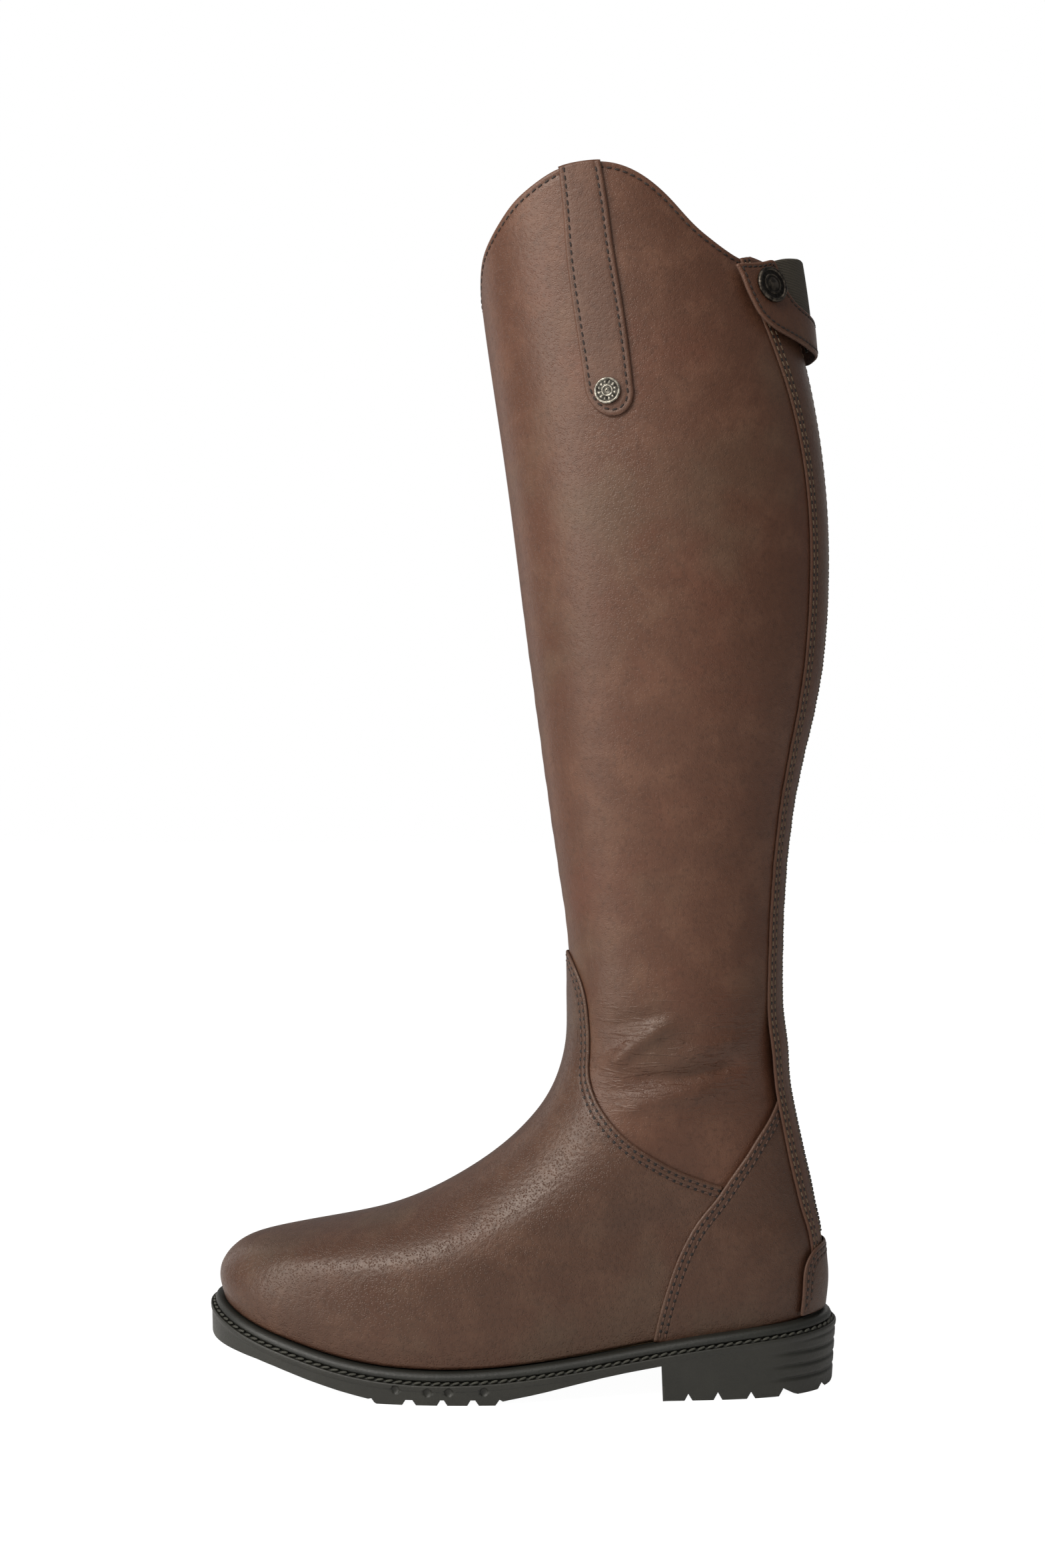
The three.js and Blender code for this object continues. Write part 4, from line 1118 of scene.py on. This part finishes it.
soleShape = {
    "columns": 420, "wallOut": 5.7, "wallRows": 52, "cutDepth": -2.5, "sharpAngle": 38,
    "welt": [
        (-3, -0.35), (0.4, -0.3), (1.6, -0.35), (2.7, -0.75), (3.5, -1.5), (3.95, -2.4), (4.0, -3.2),
        (3.7, -3.9), (3.0, -4.2), (-3, -4.2)],
    "lip": [
        (-6, -4.5), (3.6, -4.5), (4.2, -5.0), (4.6, -5.5), (5.1, -5.4), (5.5, -5.05), (5.9, -5.1),
        (6.15, -5.5), (6.2, -6.2), (6.1, -7.2), (5.9, -7.6)],
    "tread": [
        (-153, 25), (-146, 18.6), (-138, 16.8), (-124, 15.2), (-114.5, 13.8), (-106, 11.9), (-98.3, 9.9),
        (-90.8, 7.9), (-83.4, 6.1), (-76.1, 4.4), (-69, 3), (-63, 1.9), (-61.5, 2.2), (-60.2, 0.5),
        (-59.2, 0), (-48, 0), (-46.6, 2.2), (-43.6, 2.2), (-42, 0), (-33, 0), (-31.6, 2.3), (-30, 2.3),
        (-28.5, 0), (-20, 0), (-18.6, 2.3), (-16.6, 2.3), (-15, 0), (-8, 0), (-6.2, 2.5), (-4.8, 1.7),
        (-2.4, 2.2), (7, 3.9), (13.8, 5.3), (20.3, 6.8), (27.4, 8.4), (37.7, 10.7), (48, 12.7),
        (63, 15.3), (63.6, 0), (73, 0), (74.6, 3), (76.4, 0), (85.5, 0), (87.4, 3.4), (89.3, 0),
        (100, 0), (101.8, 3), (103.6, 0), (114, 0), (116, 3.4), (120.6, 0.7), (122.5, 0), (131.8, 0),
        (133.5, 2.4), (135, 0.5), (138, 0.6), (141.5, 2.6), (150, 4)],
    "dents": [(-37.4, 5.4), (-28.2, 5.6), (-14, 5.8), (-51, 6.4)], "dentSize": (2.0, 1.3, 2.1),
}
weltThread = {"out": 4.55, "drop": -4.35, "pitch": 4.1, "length": 3.3, "radius": 0.62}


def planLine(count):
    a = np.linspace(0, 360, count * 8, endpoint=False)
    p = basePoint(a, 0)
    s = runLength(np.concatenate([p, p[:1]]))
    want = np.linspace(0, s[-1], count, endpoint=False)
    angles = np.interp(want, s, np.concatenate([a, [360]]))
    p = basePoint(angles, 0)
    d = basePoint(angles + 0.3, 0) - basePoint(angles - 0.3, 0)
    n = np.stack([d[:, 1], -d[:, 0]], -1)
    n = unit(n)
    away = np.sign((n * p[:, :2]).sum(1) + 1e-9)
    return p, n * away[:, None]


planPoints, planNormals = planLine(soleShape["columns"])


def ringPoints(out, drop):  # out beyond the upper, drop below the feather line
    p = planPoints.copy()
    p[:, :2] += planNormals * np.reshape(out, (-1, 1))
    p[:, 2] = featherAt(p[:, 0]) + drop
    return p


def makeWelt():
    rings = np.array([ringPoints(out, drop) for out, drop in soleShape["welt"]])
    k, n = rings.shape[:2]
    faces = tubeFaces(k, n) + [(i + (k - 1) * n, j + (k - 1) * n, j, i) for i, j, _, _ in tubeFaces(2, n)]
    newObject("welt", shifted(rings.reshape(-1, 3)), faces, [weltRubber], "boot", ["welt"])
    ring = ringPoints(weltThread["out"], weltThread["drop"])
    loop = np.concatenate([ring, ring[:1]])
    s = runLength(loop)
    count = int(s[-1] / weltThread["pitch"])
    want = (np.arange(count) + 0.5) * s[-1] / count
    here = pointsAlong(want, s, loop)
    ahead = pointsAlong((want + 0.5) % s[-1], s, loop)
    outward = pointsAlong(want, s, np.concatenate([planNormals, planNormals[:1]]))
    outward = unit(np.concatenate([outward, np.full((count, 1), 0.8)], 1))
    layStitches("welt", here, unit(ahead - here), outward, weltThread["length"], weltThread["radius"],
                lean=0.22, flat=0.9)
    finishStitches("welt", "weltStitches", threadBlack, "boot", ["welt_thread"])


makeWelt()

def makeOutsole():
    n = soleShape["columns"]
    heel = smoothstep(60, 66, planPoints[:, 0])
    heelBack = smoothstep(106, 118, planPoints[:, 0])
    rings = [ringPoints(out, drop) for out, drop in soleShape["lip"]]
    topZ = rings[-1][:, 2]
    for i in range(1, soleShape["wallRows"] + 1):
        t = i / soleShape["wallRows"]
        z = topZ * (1 - t) + soleShape["cutDepth"] * t
        below = (topZ - z) / 30
        out = soleShape["wallOut"] - 1.2 * below * (0.6 + heel)
        groove = np.exp(-(((z + 1.0) % 5.6 - 2.8) / 0.75) ** 2)
        groove = groove * smoothstep(3, 7, z) * (1 - smoothstep(23, 26, z))
        out = out + heelBack * (0.25 - 0.9 * groove)
        p = ringPoints(out, 0)
        p[:, 2] = z
        rings.append(p)
    k = len(rings)
    faces = tubeFaces(k, n) + rungFaces(0, n, False) + rungFaces((k - 1) * n, n, True)
    points = shifted(np.concatenate(rings))
    body = newObject("outsole", points, faces, [rubber], "boot", ["outsole"])
    fixNormals(body)
    cutAway(body, sideBlock("treadCut", soleShape["tread"] + [(150, -12), (-150, -12)], -90, 90))
    for x, z in soleShape["dents"]:
        for sideSign in (-1, 1):
            i = int(np.argmin(np.abs(planPoints[:, 0] - x) + 50 * (np.sign(planPoints[:, 1]) != sideSign)))
            spot = planPoints[i] + np.array([*(planNormals[i] * 6.1), 0])
            spot[2] = z
            cutAway(body, roundCutter("dent", spot, soleShape["dentSize"]))
    body.data.shade_smooth()
    bpy.context.view_layer.objects.active = body
    body.select_set(True)
    bpy.ops.object.shade_auto_smooth(angle=math.radians(soleShape["sharpAngle"]))
    body.select_set(False)


def fixNormals(piece):
    work = bmesh.new()
    work.from_mesh(piece.data)
    bmesh.ops.remove_doubles(work, verts=work.verts, dist=1e-6)
    bmesh.ops.recalc_face_normals(work, faces=work.faces)
    work.to_mesh(piece.data)
    work.free()


def sideBlock(name, line, y0, y1):
    line = [(x + bootShape["shift"][0], z) for x, z in line]
    points = [(x, y0, z) for x, z in line] + [(x, y1, z) for x, z in line]
    n = len(line)
    faces = [tuple(range(n)), tuple(range(2 * n - 1, n - 1, -1))]
    for i in range(n):
        j = (i + 1) % n
        faces.append((i, n + i, n + j, j))
    mesh = bpy.data.meshes.new(name)
    mesh.from_pydata([tuple(c * mm for c in p) for p in points], [], faces)
    piece = linked(name, mesh)
    fixNormals(piece)
    return piece


def roundCutter(name, centre, radii):
    work = bmesh.new()
    bmesh.ops.create_uvsphere(work, u_segments=16, v_segments=10, radius=1)
    for vert in work.verts:
        vert.co = Vector((
            (vert.co.x * radii[0] + centre[0] + bootShape["shift"][0]) * mm,
            (vert.co.y * radii[1] + centre[1] + bootShape["shift"][1]) * mm,
            (vert.co.z * radii[2] + centre[2]) * mm))
    mesh = bpy.data.meshes.new(name)
    work.to_mesh(mesh)
    work.free()
    return linked(name, mesh)


def cutAway(piece, cutter):
    modifier = piece.modifiers.new("cut", "BOOLEAN")
    modifier.operation = "DIFFERENCE"
    modifier.solver = "EXACT"
    modifier.object = cutter
    bpy.context.view_layer.update()
    view = bpy.context.evaluated_depsgraph_get()
    result = bpy.data.meshes.new_from_object(piece.evaluated_get(view))
    piece.modifiers.remove(modifier)
    piece.data = result
    bpy.data.objects.remove(cutter)


makeOutsole()
print("sole made")

# inside of the boot

insideShape = {"columns": 120, "rows": 120, "topGap": 0.09, "legLow": 11.15, "footTop": 11.05}
sockShape = {"lowOut": -8.6, "highOut": -8.8, "low": 0.1, "high": 2.0}


def makeLinings():
    angles = np.linspace(0, 360, insideShape["columns"], endpoint=False)
    fold = (angles + 180) % 360 - 180
    tops = toplineAt(fold) - insideShape["topGap"]
    footTops = np.full(len(angles), insideShape["footTop"])
    for part, low, high in (("leg", insideShape["legLow"], tops), ("foot", 0.0, footTops)):
        t = np.linspace(0, 1, insideShape["rows"])
        lvls = low + (high - low)[None, :] * t[:, None]
        a = np.repeat(angles[None, :], len(t), 0)
        outer = layerPoint(a, lvls, layers["lining"])
        inner = layerPoint(a, lvls, layers["lining"] - layers["liningThick"])
        nr, nc = a.shape
        n = nr * nc
        faces = []
        for i, j, k, m in tubeFaces(nr, nc):
            faces.append((i, j, k, m))
            faces.append((n + i, n + m, n + k, n + j))
        for c in range(nc):
            c2 = (c + 1) % nc
            faces.append((c, n + c, n + c2, c2))
            i, j = (nr - 1) * nc + c, (nr - 1) * nc + c2
            faces.append((i, j, n + j, n + i))
        points = shifted(np.concatenate([outer.reshape(-1, 3), inner.reshape(-1, 3)]))
        newObject("lining" + part.title(), points, faces, [lining], "boot", ["lining_" + part])


makeLinings()


def makeSockLiner():
    low = ringPoints(sockShape["lowOut"], sockShape["low"])
    high = ringPoints(sockShape["highOut"], sockShape["high"])
    n = len(low)
    faces = tubeFaces(2, n) + rungFaces(0, n, True) + rungFaces(n, n, False)
    points = shifted(np.concatenate([low, high]))
    piece = newObject("sockLiner", points, faces, [lining], "boot", ["sock_liner"])
    fixNormals(piece)
    piece.data.shade_smooth()


makeSockLiner()
print("linings made")

# zip

zipShape = {
    "low": 3.5, "high": 21.5, "pitch": 1.9, "toothRadius": 0.62, "toothLength": 3.0, "spread": 1.25,
    "coilOut": 0.55, "tapeLow": 3.05, "tapeHigh": 21.6, "tapeNear": 0.35, "tapeFar": 9.5, "tapeIn": 0.35,
    "tapeThick": 0.6,
}


def makeZip():
    lvls = np.linspace(zipShape["low"], zipShape["high"], 400)
    p = layerPoint(np.full(400, 180.0), lvls, stripIn(180, lvls) + zipShape["coilOut"])
    s = runLength(p)
    count = int(s[-1] / zipShape["pitch"])
    for side, sign, phase in (("outer", -1, 0.25), ("inner", 1, 0.75)):
        want = (np.arange(count) + phase) * zipShape["pitch"]
        here = pointsAlong(want, s, p)
        ahead = pointsAlong(want + 0.4, s, p)
        here[:, 1] += sign * zipShape["spread"]
        up = unit(ahead - here + np.array([0, sign * zipShape["spread"], 0]))
        across = np.repeat(np.array([[0.0, 1.0, 0.0]]), len(here), 0)
        out = unit(np.cross(across, up)) * (1 if np.cross([0, 1, 0], up[0])[0] > 0 else -1)
        layStitches("zip" + side, here, across, out, zipShape["toothLength"], zipShape["toothRadius"],
                    lean=0.18 * sign, flat=1.0)
        finishStitches("zip" + side, "zipTeeth" + side.title(), zipDark, "boot",
                       ["zip_coil_" + side])
    for side, sign in (("outer", 1), ("inner", -1)):
        tapeLevels = np.linspace(zipShape["tapeLow"], zipShape["tapeHigh"], 220)
        near = angleAtWidth(zipShape["tapeNear"], tapeLevels)
        far = angleAtWidth(zipShape["tapeFar"], tapeLevels)
        cols = np.linspace(0, 1, 9)
        angles = near[None, :] + (far - near)[None, :] * cols[:, None]
        lv = np.repeat(tapeLevels[None, :], len(cols), 0)
        if sign < 0:
            angles = 360 - angles
        tapeGrid = (angles, lv, np.full(angles.shape, farAway))
        panel("zipTape" + side.title(), tapeGrid, lambda a, v: stripIn(a, v) - zipShape["tapeIn"],
              zipShape["tapeThick"], [zipDark], "boot", (), ["zip_tape_" + side])


makeZip()
for key in ("leg", "vamp", "quarter", "strip", "heel", "strap", "tab"):
    body = "tab" if key == "tab" else "boot"
    dashes = key in ("leg", "strap", "tab")  # these rows show as dark dashes, the others as stitches with dark discs of painted shade for the needle holes
    thread = threadBrown if dashes else threadPale if key == "strip" else threadTan
    finishStitches(key, key + "Stitches", thread, body)
    if not dashes:
        finishStitches(key + "Holes", key + "NeedleHoles", needleHoleShade, body)
print("zip and stitches made")

# finishes on the pieces kept from the frame

kept = {
    "heel_counter": board, "toe_puff": board, "insole_board": board, "cork_filler": board, "shank": steel,
    "badge_washer": steel, "tab_patch": stripLeather, "snap_socket": antique, "snap_stud": antique,
    "zip_slider": antique, "zip_pull": antique,
}
for node, material in kept.items():
    nodes[node].data.materials.clear()
    nodes[node].data.materials.append(material)

# studio

studio = {
    "distance": 900, "turn": 4.0, "height": 266.4, "lens": 45.46,
    "floorGlow": 0.8, "glow": 1.22, "ambient": 0.23, "lightTone": (1, 0.96, 0.91),
    "lights": [
        ("keyLight", (-1.4, -0.88, 0.72), (0.4, 1.4), 15),
        ("instepLight", (-0.74, -1.05, 1.26), (0.6, 0.5), 17),
        ("rimLight", (-1.1, 0.9, 0.6), (0.4, 1.2), 2),
        ("topLight", (-0.1, -0.4, 1.6), (1.2, 1.0), 4.5),
        ("frontLight", (0.1, -1.8, 0.9), (1.4, 1.0), 2.6),
        ("backLight", (0.7, 1.8, 0.9), (1.0, 1.2), 2.5),
    ],
}


def makeCamera():
    turn = math.radians(studio["turn"])
    data = bpy.data.cameras.new("camera")
    data.lens = studio["lens"]
    data.sensor_width = 36
    data.clip_start = 0.05
    camera = linked("camera", data)
    x = studio["distance"] * math.sin(turn) + bootShape["shift"][0]
    y = -studio["distance"] * math.cos(turn) + bootShape["shift"][1]
    camera.location = (x * mm, y * mm, studio["height"] * mm)
    camera.rotation_euler = (math.radians(90), 0, turn)
    bpy.context.scene.camera = camera


def areaLight(name, place, target, size, power, color):
    data = bpy.data.lights.new(name, "AREA")
    data.shape = "RECTANGLE"
    data.size, data.size_y = size
    data.energy = power
    data.color = color
    lamp = linked(name, data)
    lamp.location = place
    lamp.rotation_euler = (Vector(target) - Vector(place)).to_track_quat("-Z", "Y").to_euler()


def makeStudio():
    look = Look("paleFloor")
    grain = look.noise(6, 2)
    base = look.mix(grain, (0.84, 0.84, 0.84, 1), (0.88, 0.88, 0.88, 1))
    matt = look.add("ShaderNodeBsdfPrincipled", {}, {"Base Color": base, "Roughness": 0.6})
    glow = look.add("ShaderNodeEmission", {}, {"Color": (1, 1, 1, 1), "Strength": studio["glow"]})
    seen = look.add("ShaderNodeLightPath", out=0)
    both = look.add("ShaderNodeMixShader", {}, {0: seen * studio["floorGlow"], 1: matt, 2: glow})
    look.add("ShaderNodeOutputMaterial", {}, {"Surface": both})
    mesh = bpy.data.meshes.new("floor")
    mesh.from_pydata([(-8, -8, 0), (8, -8, 0), (8, 8, 0), (-8, 8, 0)], [], [(0, 1, 2, 3)])
    mesh.materials.append(look.material)
    linked("floor", mesh)
    sky = bpy.data.worlds.new("studio")
    look = Look("studio", sky)
    seen = look.add("ShaderNodeLightPath", out=0)
    soft = look.add("ShaderNodeBackground", {}, {"Color": (1, 1, 1, 1), "Strength": studio["ambient"]})
    clear = look.add("ShaderNodeBackground", {}, {"Color": (1, 1, 1, 1), "Strength": 1.0})
    both = look.add("ShaderNodeMixShader", {}, {0: seen, 1: soft, 2: clear})
    look.add("ShaderNodeOutputWorld", {}, {"Surface": both})
    bpy.context.scene.world = sky
    bpy.context.scene.view_settings.view_transform = "Standard"
    for name, place, size, power in studio["lights"]:
        areaLight(name, place, (0, 0, 0.25), size, power, studio["lightTone"])


makeCamera()
makeStudio()
print("studio ready")
